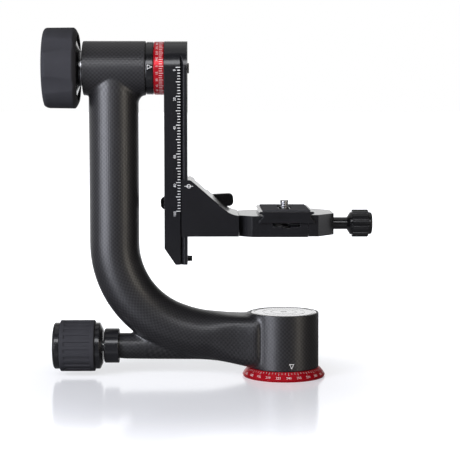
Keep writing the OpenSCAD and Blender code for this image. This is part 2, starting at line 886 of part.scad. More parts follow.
// Spool that carries the rubber grip, with a cone down to its neck
module pan_knob_core() {
  l = lock_cone_x - lock_cap_x;
  grip = lock_grip_x - lock_cap_x;
  flange = lock_flange_x - lock_cap_x;
  color([0.1, 0.1, 0.11])
    along_x(lock_cap_x, lock_z)
      difference() {
        rotate_extrude()
          polygon([
            [0, 0],
            [lock_flange_r, 0],
            [lock_flange_r, grip],
            [lock_core_r, grip],
            [lock_core_r, flange],
            [lock_flange_r, flange],
            [lock_flange_r, flange + lock_flange_t],
            [ferrule_r, l],
            [0, l]
          ]);
        translate([0, 0, l - lock_screw_inside - seat_fit])
          cylinder(r = lock_screw_r + seat_fit, h = l);
      }
}

module pan_knob_grip() {
  l = lock_grip_l - 2 * seat_fit;
  bevel = 0.8;
  color([0.2, 0.2, 0.21])
    along_x(lock_grip_x + seat_fit, lock_z)
      difference() {
        rotate_extrude()
          polygon([
            [lock_core_r + seat_fit, 0],
            [lock_grip_r - bevel, 0],
            [lock_grip_r, bevel],
            [lock_grip_r, l - bevel],
            [lock_grip_r - bevel, l],
            [lock_core_r + seat_fit, l]
          ]);
        round_z(lock_ribs)
          translate([lock_grip_r - lock_rib_d, -lock_rib_w / 2, (l - lock_rib_l) / 2])
            cube([4, lock_rib_w, lock_rib_l]);
      }
}

module pan_knob_cap() {
  color([0.08, 0.08, 0.09])
    along_x(lock_cap_x - lock_cap_l - seat_fit, lock_z)
      rotate_extrude()
        polygon([
          [0, 0],
          [lock_flange_r - 2.5, 0],
          [lock_flange_r - 1, 0.4],
          [lock_flange_r, lock_cap_l],
          [0, lock_cap_l]
        ]);
}

// ---- Swing rail -------------------------------------------------------

// Section of the rail across X and Y, with a dovetail on its right face
module rail_section() {
  half = rail_w / 2;
  flange_x = rail_t - dovetail_flange;
  side = [
    [0, half],
    [flange_x - dovetail_d, half],
    [flange_x - dovetail_d, neck_half],
    [flange_x, half],
    [rail_t, half]
  ];
  polygon(concat(side, [for (i = [len(side) - 1:-1:0]) [side[i][0], -side[i][1]]]));
}

module swing_rail() {
  color([0.09, 0.09, 0.1])
    difference() {
      intersection() {
        translate([rail_x, 0, rail_z])
          linear_extrude(rail_drop + rail_w / 2)
            rail_section();
        along_x(rail_x, tilt_z)
          union() {
            cylinder(r = rail_w / 2, h = rail_t);
            translate([0, -rail_w / 2, 0])
              cube([rail_drop, rail_w, rail_t]);
          }
      }
      translate([0, rail_w, 0])
        rotate([90, 0, 0])
          linear_extrude(2 * rail_w)
            polygon([
              [rail_x - cut, rail_z - cut],
              [rail_x + rail_chamfer_w, rail_z - cut],
              [rail_x + rail_chamfer_w, rail_z],
              [rail_x, rail_z + rail_chamfer_h],
              [rail_x - cut, rail_z + rail_chamfer_h]
            ]);
      along_x(rail_x - cut, tilt_z)
        cylinder(r = tilt_spindle_r + seat_fit, h = 6 + cut);
      along_x(rail_x, tilt_z)
        cylinder(r = rail_screw_r + seat_fit, h = rail_t);
      along_x(rail_face - rail_screw_sunk - seat_fit, tilt_z)
        cylinder(r = rail_screw_head_r + seat_fit, h = 4 + cut);
      rail_dowel_shapes(seat_fit);
      along_x(rail_face - 8 - seat_fit, rail_z + stop_up)
        cylinder(r = 1.2 + seat_fit, h = 9);
    }
}

// Two pins that key the rail to the spindle's flange
module rail_dowel_shapes(gap) {
  for (side = [-1, 1])
    translate([0, side * (tilt_flange_r - dowel_in), 0])
      along_x(rail_x - tilt_flange_t + 1 - gap, tilt_z)
        cylinder(r = dowel_r + gap, h = tilt_flange_t + dowel_deep + 2 * gap);
}

module rail_dowels() {
  color("silver")
    rail_dowel_shapes(0);
}

module rail_screw() {
  head_h = rail_screw_sunk + rail_screw_proud;
  color([0.1, 0.1, 0.1])
    along_x(rail_face + rail_screw_proud, tilt_z)
      cap_screw(rail_screw_head_r, head_h, rail_screw_r, rail_t - rail_screw_sunk + 4);
}

module rail_stop_screw() {
  color([0.1, 0.1, 0.1])
    along_x(rail_face + stop_head_h, rail_z + stop_up)
      cap_screw(stop_head_r, stop_head_h, stop_screw_r, stop_screw_l);
}

// Spindle: thread for the knob, journal, shoulder, flange and a spigot in the rail
module tilt_spindle() {
  thread_end = knob_face + 8;
  color("lightgray")
    difference() {
      union() {
        along_x(thread_end, tilt_z)
          cylinder(r = tilt_thread_r, h = barrel_left - thread_end + cut);
        along_x(barrel_left + seat_fit, tilt_z)
          cylinder(r = tilt_spindle_r, h = rail_x + 6 - seat_fit - barrel_left - seat_fit);
        along_x(barrel_right + seat_fit, tilt_z)
          cylinder(r = tilt_shoulder_r, h = rail_x - barrel_right - seat_fit);
        along_x(rail_x - tilt_flange_t, tilt_z)
          cylinder(r = tilt_flange_r, h = tilt_flange_t - seat_fit);
      }
      along_x(rail_x - 4.5, tilt_z)
        cylinder(r = rail_screw_r + seat_fit, h = 12);
      rail_dowel_shapes(seat_fit);
    }
}

module tilt_scale_ring() {
  bevel = 0.4;
  color("crimson")
    along_x(ring_x, tilt_z)
      difference() {
        rotate_extrude()
          polygon([
            [tilt_shoulder_r + 2, 0],
            [ring_r - bevel, 0],
            [ring_r, bevel],
            [ring_r, ring_l - bevel],
            [ring_r - bevel, ring_l],
            [tilt_shoulder_r + 2, ring_l]
          ]);
        translate([0, 0, ring_l - tilt_flange_t - seat_fit])
          cylinder(r = tilt_flange_r + seat_fit, h = tilt_flange_t + cut);
      }
}

// ---- Tilt lock --------------------------------------------------------

module tilt_clamp_washer() {
  color("silver")
    along_x(washer_x, tilt_z)
      pipe(tilt_neck_r - 0.4, tilt_thread_r + run_fit, clamp_washer_t);
}

// Metal body of the knob: a plate behind the grip and a neck
module tilt_knob_core() {
  l = tilt_neck_l + knob_core_l;
  back_z = knob_core_l - knob_plate_t;
  color([0.07, 0.07, 0.08])
    along_x(neck_x + tilt_neck_l - l, tilt_z)
      difference() {
        rotate_extrude()
          polygon([
            [0, 0],
            [knob_core_r, 0],
            [knob_core_r, back_z],
            [knob_plate_r, back_z],
            [knob_plate_r, knob_core_l - 0.6],
            [tilt_neck_r + 2, knob_core_l],
            [tilt_neck_r, knob_core_l + 0.8],
            [tilt_neck_r, l],
            [0, l]
          ]);
        translate([0, 0, -cut])
          cylinder(r = tilt_thread_r + 0.4, h = l + 2 * cut);
        translate([0, 0, -cut])
          cylinder(r = knob_nut_r + seat_fit, h = knob_nut_l + cut + seat_fit);
      }
}

// Rubber grip: a round cup whose finger scallops deepen towards its outer face
module tilt_knob_grip() {
  r = tilt_knob_r;
  l = tilt_knob_l;
  n = tilt_knob_round;
  lean_shift = l * tan(tilt_scallop_lean);
  color([0.24, 0.24, 0.25])
    along_x(knob_face, tilt_z)
      difference() {
        rotate_extrude() {
          polygon([
            [tilt_cap_r + seat_fit, 0],
            [r - n, 0],
            [r - n, n],
            [r, n],
            [r, l - 1.6],
            [r - 1.8, l],
            [knob_plate_r + seat_fit, l],
            [knob_plate_r + seat_fit, l - knob_plate_t - seat_fit],
            [knob_core_r + seat_fit, l - knob_plate_t - seat_fit],
            [knob_core_r + seat_fit, 8 - seat_fit],
            [tilt_cap_r + seat_fit, 8 - seat_fit]
          ]);
          intersection() {
            translate([r - n, n])
              circle(r = n);
            translate([r - n, 0])
              square([n, n]);
          }
        }
        round_z(tilt_scallops, 34)
          translate([r + tilt_scallop_r - tilt_scallop_d, 0, 0])
            rotate([0, tilt_scallop_lean, 0])
              translate([0, 0, -10])
                cylinder(r = tilt_scallop_r, h = l + 20);
      }
}

module tilt_knob_cap() {
  dome_r = (pow(tilt_cap_r, 2) + pow(tilt_cap_h, 2)) / (2 * tilt_cap_h);
  body = 4;
  color([0.16, 0.16, 0.17])
    along_x(knob_face, tilt_z)
      union() {
        cylinder(r = tilt_cap_r, h = body);
        intersection() {
          translate([0, 0, dome_r - tilt_cap_h])
            sphere(r = dome_r);
          translate([0, 0, -tilt_cap_h - cut])
            cylinder(r = tilt_cap_r, h = tilt_cap_h + cut + 0.5);
        }
      }
}

module tilt_knob_nut() {
  color("goldenrod")
    along_x(knob_nut_x, tilt_z)
      pipe(knob_nut_r, tilt_thread_r + run_fit, knob_nut_l);
}

// ---- Platform ---------------------------------------------------------

// Side outline of the bracket: upright leg, slope, fillet and platform
module bracket_outline() {
  flat_end = bracket_x + bracket_flat;
  run = (bracket_top - platform_z) / tan(bracket_slope);
  foot = flat_end + run;
  reach = bracket_fillet * tan(bracket_slope / 2);
  trim = bracket_round * tan(bracket_slope / 2);
  arc = [
    for (k = [0:8])
      let (a = bracket_slope * (1 - k / 8))
      [foot + reach - bracket_fillet * sin(a), platform_z + bracket_fillet * (1 - cos(a))]
  ];
  corner = [
    for (k = [0:4])
      let (a = bracket_slope * k / 4)
      [flat_end - trim + bracket_round * sin(a), bracket_top - bracket_round * (1 - cos(a))]
  ];
  far_x = bracket_end + bracket_fillet;
  intersection() {
    polygon(concat(
      [[bracket_x, bracket_z], [bracket_x, bracket_top]],
      corner,
      arc,
      [[far_x, platform_z], [far_x, bracket_z]]
    ));
    translate([bracket_x, bracket_z])
      square([bracket_end - bracket_x, bracket_h]);
  }
}

// Lip that reaches round the rail's dovetail, on the side of +Y, seen from above
module jaw_profile(reach, outer) {
  flank = rail_face - dovetail_flange - dovetail_gap;
  inner = rail_w / 2 + dovetail_gap;
  polygon([
    [jaw_x, outer],
    [jaw_x, inner - jaw_lip],
    [flank, inner],
    [bracket_x + reach, inner],
    [bracket_x + reach, outer]
  ]);
}

module platform_bracket() {
  half = bracket_w / 2;
  pocket_z = bar_z - rail_jaw_h / 2;
  color([0.08, 0.08, 0.09])
    difference() {
      union() {
        translate([0, half, 0])
          rotate([90, 0, 0])
            linear_extrude(bracket_w)
              bracket_outline();
        translate([0, 0, bracket_z])
          linear_extrude(bracket_h)
            mirror([0, 1])
              jaw_profile(2, half);
      }
      translate([bracket_x - 6, rail_w / 2 + dovetail_gap - 2, pocket_z - face_gap])
        cube([rail_jaw_d + 6 + face_gap, half, rail_jaw_h + 2 * face_gap]);
      along_y(bar_x, -8, bar_z)
        cylinder(r = bar_screw_r + run_fit, h = half + 8);
      for (side = [-1, 1])
        along_y(bar_x, 4, bar_z + side * rail_pin_z)
          cylinder(r = guide_pin_r + run_fit, h = half);
      for (side = [-1, 1])
        translate([0, side * bolt_y, 0]) {
          along_x(bracket_x - cut, clamp_axis_z)
            cylinder(r = bolt_head_r + 0.2, h = bracket_end - bracket_x - bolt_grip + cut);
          along_x(bracket_x, clamp_axis_z)
            cylinder(r = bolt_r + seat_fit, h = bracket_end - bracket_x + cut);
        }
    }
}

// Two bolts that hold the clamp to the bracket's end
module clamp_bolts() {
  color([0.1, 0.1, 0.1])
    for (side = [-1, 1])
      translate([0, side * bolt_y, 0])
        along_x(bracket_end - bolt_grip - seat_fit - bolt_head_h, clamp_axis_z)
          mirror([0, 0, 1])
            cap_screw(bolt_head_r, bolt_head_h, bolt_r, 2 * (bolt_grip + seat_fit) + face_gap);
}

// Plan of the clamp with its corner cuts, from x1 to x2
module clamp_plan(x1, x2, left_x, left_y, right_x, right_y) {
  half = clamp_w / 2;
  polygon([
    [x1, left_y - half],
    [x1 + left_x, -half],
    [x2 - right_x, -half],
    [x2, right_y - half],
    [x2, half - right_y],
    [x2 - right_x, half],
    [x1 + left_x, half],
    [x1, half - left_y]
  ]);
}

// Space that the plate's dovetail takes, seen along Y, grown by gap
module dovetail_space(gap) {
  low = plate_half + gap;
  neck = plate_half - plate_flank + gap;
  polygon([
    [-low, 0],
    [low, 0],
    [low, plate_edge + gap],
    [neck, plate_edge + plate_flank + gap],
    [neck, 30],
    [-neck, 30],
    [-neck, plate_edge + plate_flank + gap],
    [-low, plate_edge + gap]
  ]);
}

module dovetail_cut() {
  translate([0, clamp_w, plate_z])
    rotate([90, 0, 0])
      linear_extrude(2 * clamp_w)
        dovetail_space(dovetail_gap);
}

module clamp_body() {
  half = clamp_w / 2;
  color([0.09, 0.09, 0.1])
    difference() {
      union() {
        translate([0, 0, clamp_z])
          linear_extrude(clamp_floor)
            clamp_plan(-clamp_left, jaw_split, clamp_cut_x, clamp_cut_y, 0, 0);
        translate([0, 0, clamp_z])
          linear_extrude(clamp_h)
            clamp_plan(-clamp_left, -plate_half + plate_flank, clamp_cut_x, clamp_cut_y, 0, 0);
      }
      dovetail_cut();
      translate([-channel_w / 2, -half - cut, floor_z - channel_d])
        cube([channel_w, clamp_w + 2 * cut, channel_d + cut]);
      translate([-groove_w / 2, -half - cut, floor_z - channel_d - groove_d])
        cube([groove_w, clamp_w + 2 * cut, groove_d + channel_d]);
      along_x(-clamp_left + 6, clamp_axis_z)
        cylinder(r = clamp_screw_r + run_fit, h = 2 * clamp_left);
      for (side = [-1, 1])
        translate([0, side * jaw_pin_y, 0])
          along_x(0, clamp_axis_z)
            cylinder(r = guide_pin_r + run_fit, h = clamp_left);
      for (side = [-1, 1])
        translate([0, side * bolt_y, 0])
          along_x(-clamp_left - cut, clamp_axis_z)
            cylinder(r = bolt_r + seat_fit, h = bolt_grip + 1 + cut);
    }
}

module clamp_jaw() {
  h = clamp_h + moving_jaw_up;
  x1 = jaw_split + face_gap;
  color([0.09, 0.09, 0.1])
    difference() {
      translate([0, 0, clamp_z + 0.4])
        linear_extrude(h - 0.4)
          clamp_plan(x1, clamp_right, 0, 0, jaw_cut_x, jaw_cut_y);
      dovetail_cut();
      along_x(x1 - cut, clamp_axis_z)
        cylinder(r = clamp_screw_r + run_fit, h = clamp_right);
      for (side = [-1, 1])
        translate([0, side * jaw_pin_y, 0])
          along_x(x1 - cut, clamp_axis_z)
            cylinder(r = guide_pin_r + seat_fit, h = 10);
    }
}

module clamp_guide_pins() {
  x1 = 2;
  color("silver")
    for (side = [-1, 1])
      translate([0, side * jaw_pin_y, 0])
        along_x(x1, clamp_axis_z)
          cylinder(r = guide_pin_r, h = jaw_split + face_gap + 9 - seat_fit - x1);
}

// Moving jaw that grips the rail, with its lip behind the dovetail
module rail_jaw() {
  half = bracket_w / 2;
  color([0.1, 0.1, 0.11])
    difference() {
      translate([0, 0, bar_z - rail_jaw_h / 2])
        linear_extrude(rail_jaw_h)
          jaw_profile(rail_jaw_d, half);
      along_y(bar_x, 0, bar_z)
        cylinder(r = bar_screw_r + run_fit, h = half + cut);
      for (side = [-1, 1])
        along_y(bar_x, 0, bar_z + side * rail_pin_z)
          cylinder(r = guide_pin_r + seat_fit, h = half - 3);
    }
}

module rail_jaw_pins() {
  color("silver")
    for (side = [-1, 1])
      along_y(bar_x, 6, bar_z + side * rail_pin_z)
        cylinder(r = guide_pin_r, h = bracket_w / 2 - 3 - seat_fit - 6);
}

// Bar-shaped knob with a round neck, thicker round its middle
module bar_knob() {
  round_r = bar_h * 0.36;
  end_x = bar_l / 2 - round_r;
  end_z = bar_h / 2 - round_r;
  color([0.08, 0.08, 0.08])
    difference() {
      union() {
        along_y(bar_x, bracket_w / 2 + seat_fit, bar_z)
          cylinder(r = bar_screw_r + 2.6, h = bar_neck_l + 1);
        translate([bar_x, bar_y + bar_d, bar_z])
          rotate([90, -bar_turn, 0])
            linear_extrude(bar_d) {
              square([bar_l, 2 * end_z], center = true);
              square([2 * end_x, bar_h], center = true);
              for (sx = [-1, 1], sz = [-1, 1])
                translate([sx * end_x, sz * end_z])
                  circle(r = round_r);
            }
      }
      along_y(bar_x, 0, bar_z)
        cylinder(r = bar_screw_r + seat_fit, h = bar_y + bar_d - 3);
    }
}

module bar_screw() {
  color("silver")
    along_y(bar_x, -6, bar_z)
      cylinder(r = bar_screw_r, h = 6 + bar_y + bar_d - 3 - seat_fit);
}

// Knob of the quick-release clamp: neck, cone, grooved drum and end disc
module clamp_knob() {
  cone = clamp_neck_l + 2.2;
  drum = clamp_neck_l + 3.4;
  edge = 0.6;
  color([0.1, 0.1, 0.1])
    along_x(clamp_neck_x, clamp_axis_z)
      difference() {
        rotate_extrude()
          polygon([
            [0, 0],
            [clamp_neck_r, 0],
            [clamp_neck_r, clamp_neck_l],
            [clamp_shoulder_r, cone],
            [clamp_shoulder_r, drum],
            [clamp_knob_r - edge, drum],
            [clamp_knob_r, drum + edge],
            [clamp_knob_r, drum + clamp_grip_l - edge],
            [clamp_knob_r - edge, drum + clamp_grip_l],
            [0, drum + clamp_grip_l]
          ]);
        translate([0, 0, -cut])
          cylinder(r = clamp_screw_r + seat_fit, h = drum + 4 + cut);
        round_z(clamp_ribs)
          translate([clamp_knob_r + 0.5, 0, drum - cut])
            cylinder(r = 1.2, h = clamp_grip_l + 2 * cut, $fn = 24);
      }
}

module clamp_knob_cap() {
  l = 2.6;
  color([0.06, 0.06, 0.06])
    along_x(clamp_grip_x + clamp_grip_l + seat_fit, clamp_axis_z)
      rotate_extrude()
        polygon([
          [0, 0],
          [clamp_shoulder_r, 0],
          [clamp_shoulder_r, l - 0.9],
          [clamp_shoulder_r - 0.9, l],
          [0, l]
        ]);
}

module clamp_screw() {
  x1 = -clamp_left + 8;
  color("silver")
    along_x(x1, clamp_axis_z)
      cylinder(r = clamp_screw_r, h = clamp_grip_x + 4 - seat_fit - x1);
}

// ---- Camera plate -----------------------------------------------------

// Side outline of the plate, seen along Y: dovetail foot, neck and wide top
module plate_outline() {
  neck = plate_half - plate_flank;
  top_half = plate_top_w / 2;
  top_z = plate_edge + plate_flank + 1.6;
  side = [
    [plate_half, 0],
    [plate_half, plate_edge],
    [neck, plate_edge + plate_flank],
    [neck, top_z],
    [top_half, top_z + 0.8],
    [top_half, plate_t - 0.6],
    [top_half - 0.6, plate_t]
  ];
  polygon(concat(side, [for (i = [len(side) - 1:-1:0]) [-side[i][0], side[i][1]]]));
}

// Slot with round ends along Y, from z, of half width r
module plate_slot(r, l, z, h) {
  translate([0, 0, z]) {
    for (side = [-1, 1])
      translate([0, side * (l / 2 - r), 0])
        cylinder(r = r, h = h);
    translate([-r, r - l / 2, 0])
      cube([2 * r, l - 2 * r, h]);
  }
}

module camera_plate() {
  slot_r = camera_stud_r + face_gap;
  wide_r = camera_head_r + face_gap;
  color([0.1, 0.1, 0.11])
    difference() {
      translate([0, plate_l / 2, plate_z])
        rotate([90, 0, 0])
          linear_extrude(plate_l)
            plate_outline();
      plate_slot(slot_r, plate_slot_l, plate_z - cut, plate_t + 2 * cut);
      plate_slot(wide_r, plate_slot_l + 2 * (wide_r - slot_r), plate_z - cut, camera_head_t + cut + 0.6);
    }
}

module plate_pad() {
  margin = 2.5;
  slot_r = camera_stud_r + face_gap + 1;
  color([0.15, 0.15, 0.15])
    difference() {
      translate([margin - plate_top_w / 2, margin - plate_l / 2, plate_top_z])
        cube([plate_top_w - 2 * margin, plate_l - 2 * margin, pad_t]);
      plate_slot(slot_r, plate_slot_l + 2, plate_top_z - cut, pad_t + 2 * cut);
    }
}

// Camera screw with a coin slot across its head
module camera_screw() {
  head_z = plate_z + 0.4;
  coin_w = 1.4;
  color("silver")
    difference() {
      union() {
        translate([0, 0, head_z])
          cylinder(r = camera_head_r, h = camera_head_t);
        translate([0, 0, head_z])
          cylinder(r = camera_neck_r, h = pad_top_z + 1 - head_z);
        translate([0, 0, pad_top_z + 0.2])
          cylinder(r = camera_stud_r, h = camera_stud_l - 0.2);
      }
      translate([-camera_head_r - cut, -coin_w / 2, head_z - cut])
        cube([2 * (camera_head_r + cut), coin_w, cut + 1]);
    }
}

base_disc();
pan_spindle();
thread_insert();
base_screws();
spindle_nut();
carbon_arm();
pan_sleeve();
pan_bearing_lower();
pan_bearing_upper();
hub_cap();
cap_ring();
pan_lock_bush();
pan_ferrule();
tilt_sleeve();
tilt_bearing_left();
tilt_bearing_right();
index_collar();
pan_brake_shoe();
pan_push_rod();
pan_knob_core();
pan_knob_grip();
pan_knob_cap();
pan_lock_screw();
swing_rail();
tilt_spindle();
tilt_scale_ring();
rail_screw();
rail_dowels();
rail_stop_screw();
tilt_clamp_washer();
tilt_knob_core();
tilt_knob_grip();
tilt_knob_cap();
tilt_knob_nut();
platform_bracket();
clamp_body();
clamp_bolts();
rail_jaw();
rail_jaw_pins();
bar_knob();
bar_screw();
clamp_jaw();
clamp_guide_pins();
clamp_knob();
clamp_screw();
clamp_knob_cap();
camera_plate();
plate_pad();
camera_screw();
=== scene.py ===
# Gimbal tripod head: carbon C-arm, swing rail, sliding platform with quick-release clamp
import json
import math
import bpy
from mathutils import Matrix, Vector


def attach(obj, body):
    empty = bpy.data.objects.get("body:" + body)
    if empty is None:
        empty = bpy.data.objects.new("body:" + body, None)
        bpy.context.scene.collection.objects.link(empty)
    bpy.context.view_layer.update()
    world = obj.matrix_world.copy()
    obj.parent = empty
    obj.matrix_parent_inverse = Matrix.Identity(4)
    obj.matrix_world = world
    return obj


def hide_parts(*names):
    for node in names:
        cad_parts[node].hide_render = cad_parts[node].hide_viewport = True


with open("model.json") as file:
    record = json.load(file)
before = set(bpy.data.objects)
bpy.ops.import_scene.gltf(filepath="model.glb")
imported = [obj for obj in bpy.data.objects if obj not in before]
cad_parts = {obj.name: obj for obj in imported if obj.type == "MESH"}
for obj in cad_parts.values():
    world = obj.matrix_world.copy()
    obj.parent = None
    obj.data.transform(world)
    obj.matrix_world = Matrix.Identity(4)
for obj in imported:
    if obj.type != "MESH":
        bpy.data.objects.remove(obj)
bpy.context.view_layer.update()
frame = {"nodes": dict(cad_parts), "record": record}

mm = 0.001
scene = bpy.context.scene

# places that several pieces share, in mm, as in the CAD
panLockZ = 21.8
tiltZ = 219.6
uprightX = -120.9
barrelLeft, barrelRight = -142.1, -98.0
markThick = 0.05  # how far painted marks stand up


# small steps that every piece uses

def deselectAll():
    if bpy.context.object and bpy.context.object.mode != "OBJECT":
        bpy.ops.object.mode_set(mode="OBJECT")
    bpy.ops.object.select_all(action="DESELECT")


def pick(*objs):
    deselectAll()
    for obj in objs:
        obj.select_set(True)
    bpy.context.view_layer.objects.active = objs[0]
    return objs[0]


def editMode(on=True):
    bpy.ops.object.mode_set(mode="EDIT" if on else "OBJECT")


def selectFaces(obj, test):
    # selects the faces that pass, and stays in edit mode
    pick(obj)
    editMode()
    bpy.ops.mesh.select_mode(type="FACE")
    editMode(False)
    for part in (obj.data.vertices, obj.data.edges, obj.data.polygons):
        part.foreach_set("select", [False] * len(part))
    for face in obj.data.polygons:
        if test(face):
            face.select = True
    editMode()


def applyModifier(obj, kind, **settings):
    pick(obj)
    mod = obj.modifiers.new(kind.title(), kind)
    for key, value in settings.items():
        setattr(mod, key, value)
    bpy.ops.object.modifier_apply(modifier=mod.name)


def cut(obj, *cutters):
    for cutter in cutters:
        applyModifier(obj, "BOOLEAN", object=cutter, operation="DIFFERENCE", solver="EXACT")
        bpy.data.objects.remove(cutter, do_unlink=True)


def joined(*objs):
    pick(*objs)
    bpy.ops.object.join()
    return objs[0]


def tidyMesh(obj):
    pick(obj)
    editMode()
    bpy.ops.mesh.select_all(action="SELECT")
    bpy.ops.mesh.remove_doubles(threshold=2e-6)
    bpy.ops.mesh.normals_make_consistent(inside=False)
    editMode(False)


def crisp(obj, bevel=0.0, segments=3, edgeAngle=30, smoothAngle=38, weighted=True):
    # rounds the sharp edges and shades the rest smooth
    if bevel:
        applyModifier(obj, "BEVEL", width=bevel * mm, segments=segments, limit_method="ANGLE",
                      angle_limit=math.radians(edgeAngle), use_clamp_overlap=True)
    pick(obj)
    bpy.ops.object.shade_smooth_by_angle(angle=math.radians(smoothAngle))
    if weighted:
        applyModifier(obj, "WEIGHTED_NORMAL", keep_sharp=True, weight=60)


def alongPoint(axis, centre, radius, along):
    x, y, z = centre
    if axis == "X":
        return Vector((x + along, y, z + radius)) * mm
    if axis == "Y":
        return Vector((x + radius, y + along, z)) * mm
    return Vector((x + radius, y, z + along)) * mm


def wire(name, points, close=True):
    # a line of points, extruded one from the other
    deselectAll()
    bpy.ops.mesh.primitive_plane_add(size=0.01, location=(0, 0, 0))
    obj = bpy.context.object
    obj.name = name
    editMode()
    bpy.ops.mesh.select_mode(type="VERT")
    bpy.ops.mesh.select_all(action="SELECT")
    bpy.ops.mesh.merge(type="CENTER")
    bpy.ops.transform.translate(value=points[0])
    for i in range(1, len(points) + (1 if close else 0)):
        step = points[i % len(points)] - points[i - 1]
        bpy.ops.mesh.extrude_region_move(TRANSFORM_OT_translate={"value": step})
    bpy.ops.mesh.select_all(action="SELECT")
    bpy.ops.mesh.remove_doubles(threshold=1e-6)
    return obj


def turned(name, profile, centre, axis="X", steps=96, close=True):
    # a turned part: profile of (radius, along) in mm, spun round the axis
    points = [alongPoint(axis, centre, r, a) for r, a in profile]
    obj = wire(name, points, close)
    spinAxis = {"X": (1, 0, 0), "Y": (0, 1, 0), "Z": (0, 0, 1)}[axis]
    bpy.ops.mesh.select_all(action="SELECT")
    bpy.ops.mesh.spin(steps=steps, angle=2 * math.pi, center=Vector(centre) * mm, axis=spinAxis)
    tidyMesh(obj)
    return obj


def cutOut(name, outline, plane, start, depth):
    # a flat outline in mm, filled and pushed out to its depth
    if plane == "XZ":
        points = [Vector((a, start, b)) * mm for a, b in outline]
        push = Vector((0, depth, 0)) * mm
    else:
        points = [Vector((a, b, start)) * mm for a, b in outline]
        push = Vector((0, 0, depth)) * mm
    obj = wire(name, points)
    bpy.ops.mesh.select_all(action="SELECT")
    bpy.ops.mesh.edge_face_add()
    bpy.ops.mesh.extrude_region_move(TRANSFORM_OT_translate={"value": push})
    tidyMesh(obj)
    return obj


def block(name, low, high):
    deselectAll()
    size = [h - l for l, h in zip(low, high)]
    middle = [(l + h) / 2 * mm for l, h in zip(low, high)]
    bpy.ops.mesh.primitive_cube_add(size=mm, location=middle, scale=size)
    obj = bpy.context.object
    obj.name = name
    bpy.ops.object.transform_apply(location=True, rotation=True, scale=True)
    return obj


def rod(name, radius, start, end, axis="X", centre=(0, 0, 0), sides=64, endRadius=None):
    # a plain cylinder or cone that another step cuts with or builds on
    r2 = radius if endRadius is None else endRadius
    deselectAll()
    middle = list(centre)
    middle["XYZ".index(axis)] = (start + end) / 2
    turn = {"X": (0, math.pi / 2, 0), "Y": (-math.pi / 2, 0, 0), "Z": (0, 0, 0)}[axis]
    bpy.ops.mesh.primitive_cone_add(vertices=sides, radius1=radius * mm, radius2=r2 * mm,
                                    depth=(end - start) * mm, location=Vector(middle) * mm,
                                    rotation=turn)
    obj = bpy.context.object
    obj.name = name
    bpy.ops.object.transform_apply(location=True, rotation=True, scale=True)
    return obj


def movePoints(obj, rule):
    for v in obj.data.vertices:
        v.co = rule(v.co)
    obj.data.update()


def copyOf(obj, matrix):
    twin = obj.copy()
    twin.data = obj.data.copy()
    scene.collection.objects.link(twin)
    twin.data.transform(matrix)
    return twin


def turnAbout(axis, centre, degrees):
    c = Vector(centre) * mm
    turn = Matrix.Rotation(math.radians(degrees), 4, axis)
    return Matrix.Translation(c) @ turn @ Matrix.Translation(-c)


def flatMark(name, width, height):
    # a thin painted mark, drawn round the origin: u to the right, v up, w out
    deselectAll()
    bpy.ops.mesh.primitive_plane_add(size=mm, location=(0, 0, 0))
    obj = bpy.context.object
    obj.name = name
    editMode()
    bpy.ops.mesh.select_mode(type="VERT")
    bpy.ops.mesh.select_all(action="SELECT")
    bpy.ops.transform.resize(value=(width, height, 1))
    bpy.ops.mesh.bevel(offset=min(width, height) * 0.3 * mm, segments=2, affect="VERTICES")
    bpy.ops.mesh.select_all(action="SELECT")
    bpy.ops.mesh.extrude_region_move(TRANSFORM_OT_translate={"value": (0, 0, markThick * mm)})
    tidyMesh(obj)
    return obj


def numberMark(text, height):
    # a plain number, its lowest face on the origin's plane
    deselectAll()
    bpy.ops.object.text_add(location=(0, 0, 0))
    obj = bpy.context.object
    obj.data.body = text
    obj.data.size = height * 1.42 * mm
    obj.data.align_x = "CENTER"
    obj.data.align_y = "CENTER"
    obj.data.resolution_u = 2
    obj.data.extrude = markThick / 2 * mm
    obj.data.offset = 0.012 * height * mm
    bpy.ops.object.convert(target="MESH")
    tidyMesh(obj)
    low = min(v.co.z for v in obj.data.vertices)
    movePoints(obj, lambda p: Vector((p.x, p.y, p.z - low)))
    return obj


def triangleMark(width, height, line):
    # an outlined triangle that points down (-v)
    tip = [(-width / 2, height / 2), (width / 2, height / 2), (0, -height / 2)]
    middle = height / 6
    share = 1 - 3.4 * line / height
    hole = [(a * share, middle + (b - middle) * share) for a, b in tip]
    obj = cutOut("triangle", tip, "XY", 0, markThick)
    cut(obj, cutOut("hole", hole, "XY", -1, markThick + 2))
    # enough points along its lines to follow a round wall
    pick(obj)
    editMode()
    bpy.ops.mesh.select_mode(type="VERT")
    bpy.ops.mesh.select_all(action="SELECT")
    bpy.ops.mesh.quads_convert_to_tris()
    bpy.ops.mesh.subdivide(number_cuts=3)
    editMode(False)
    return obj


def onFront(mark, x, y, z, upwards=False):
    # sets a mark on a flat face that looks towards -Y; upwards turns it to read up the face
    def place(p):
        u, v = (-p.y, p.x) if upwards else (p.x, p.y)
        return Vector((x * mm + u, y * mm - p.z, z * mm + v))
    movePoints(mark, place)
    return mark


def roundTilt(mark, radius, degrees, x, onSide=False):
    # wraps a mark round the tilt axis; degrees count up from -Y, onSide gives it a quarter turn
    def place(p):
        u, v = (-p.y, p.x) if onSide else (p.x, p.y)
        angle = math.radians(degrees) + v / (radius * mm)
        r = radius * mm + p.z
        return Vector((x * mm + u, -r * math.cos(angle), tiltZ * mm + r * math.sin(angle)))
    movePoints(mark, place)
    return mark


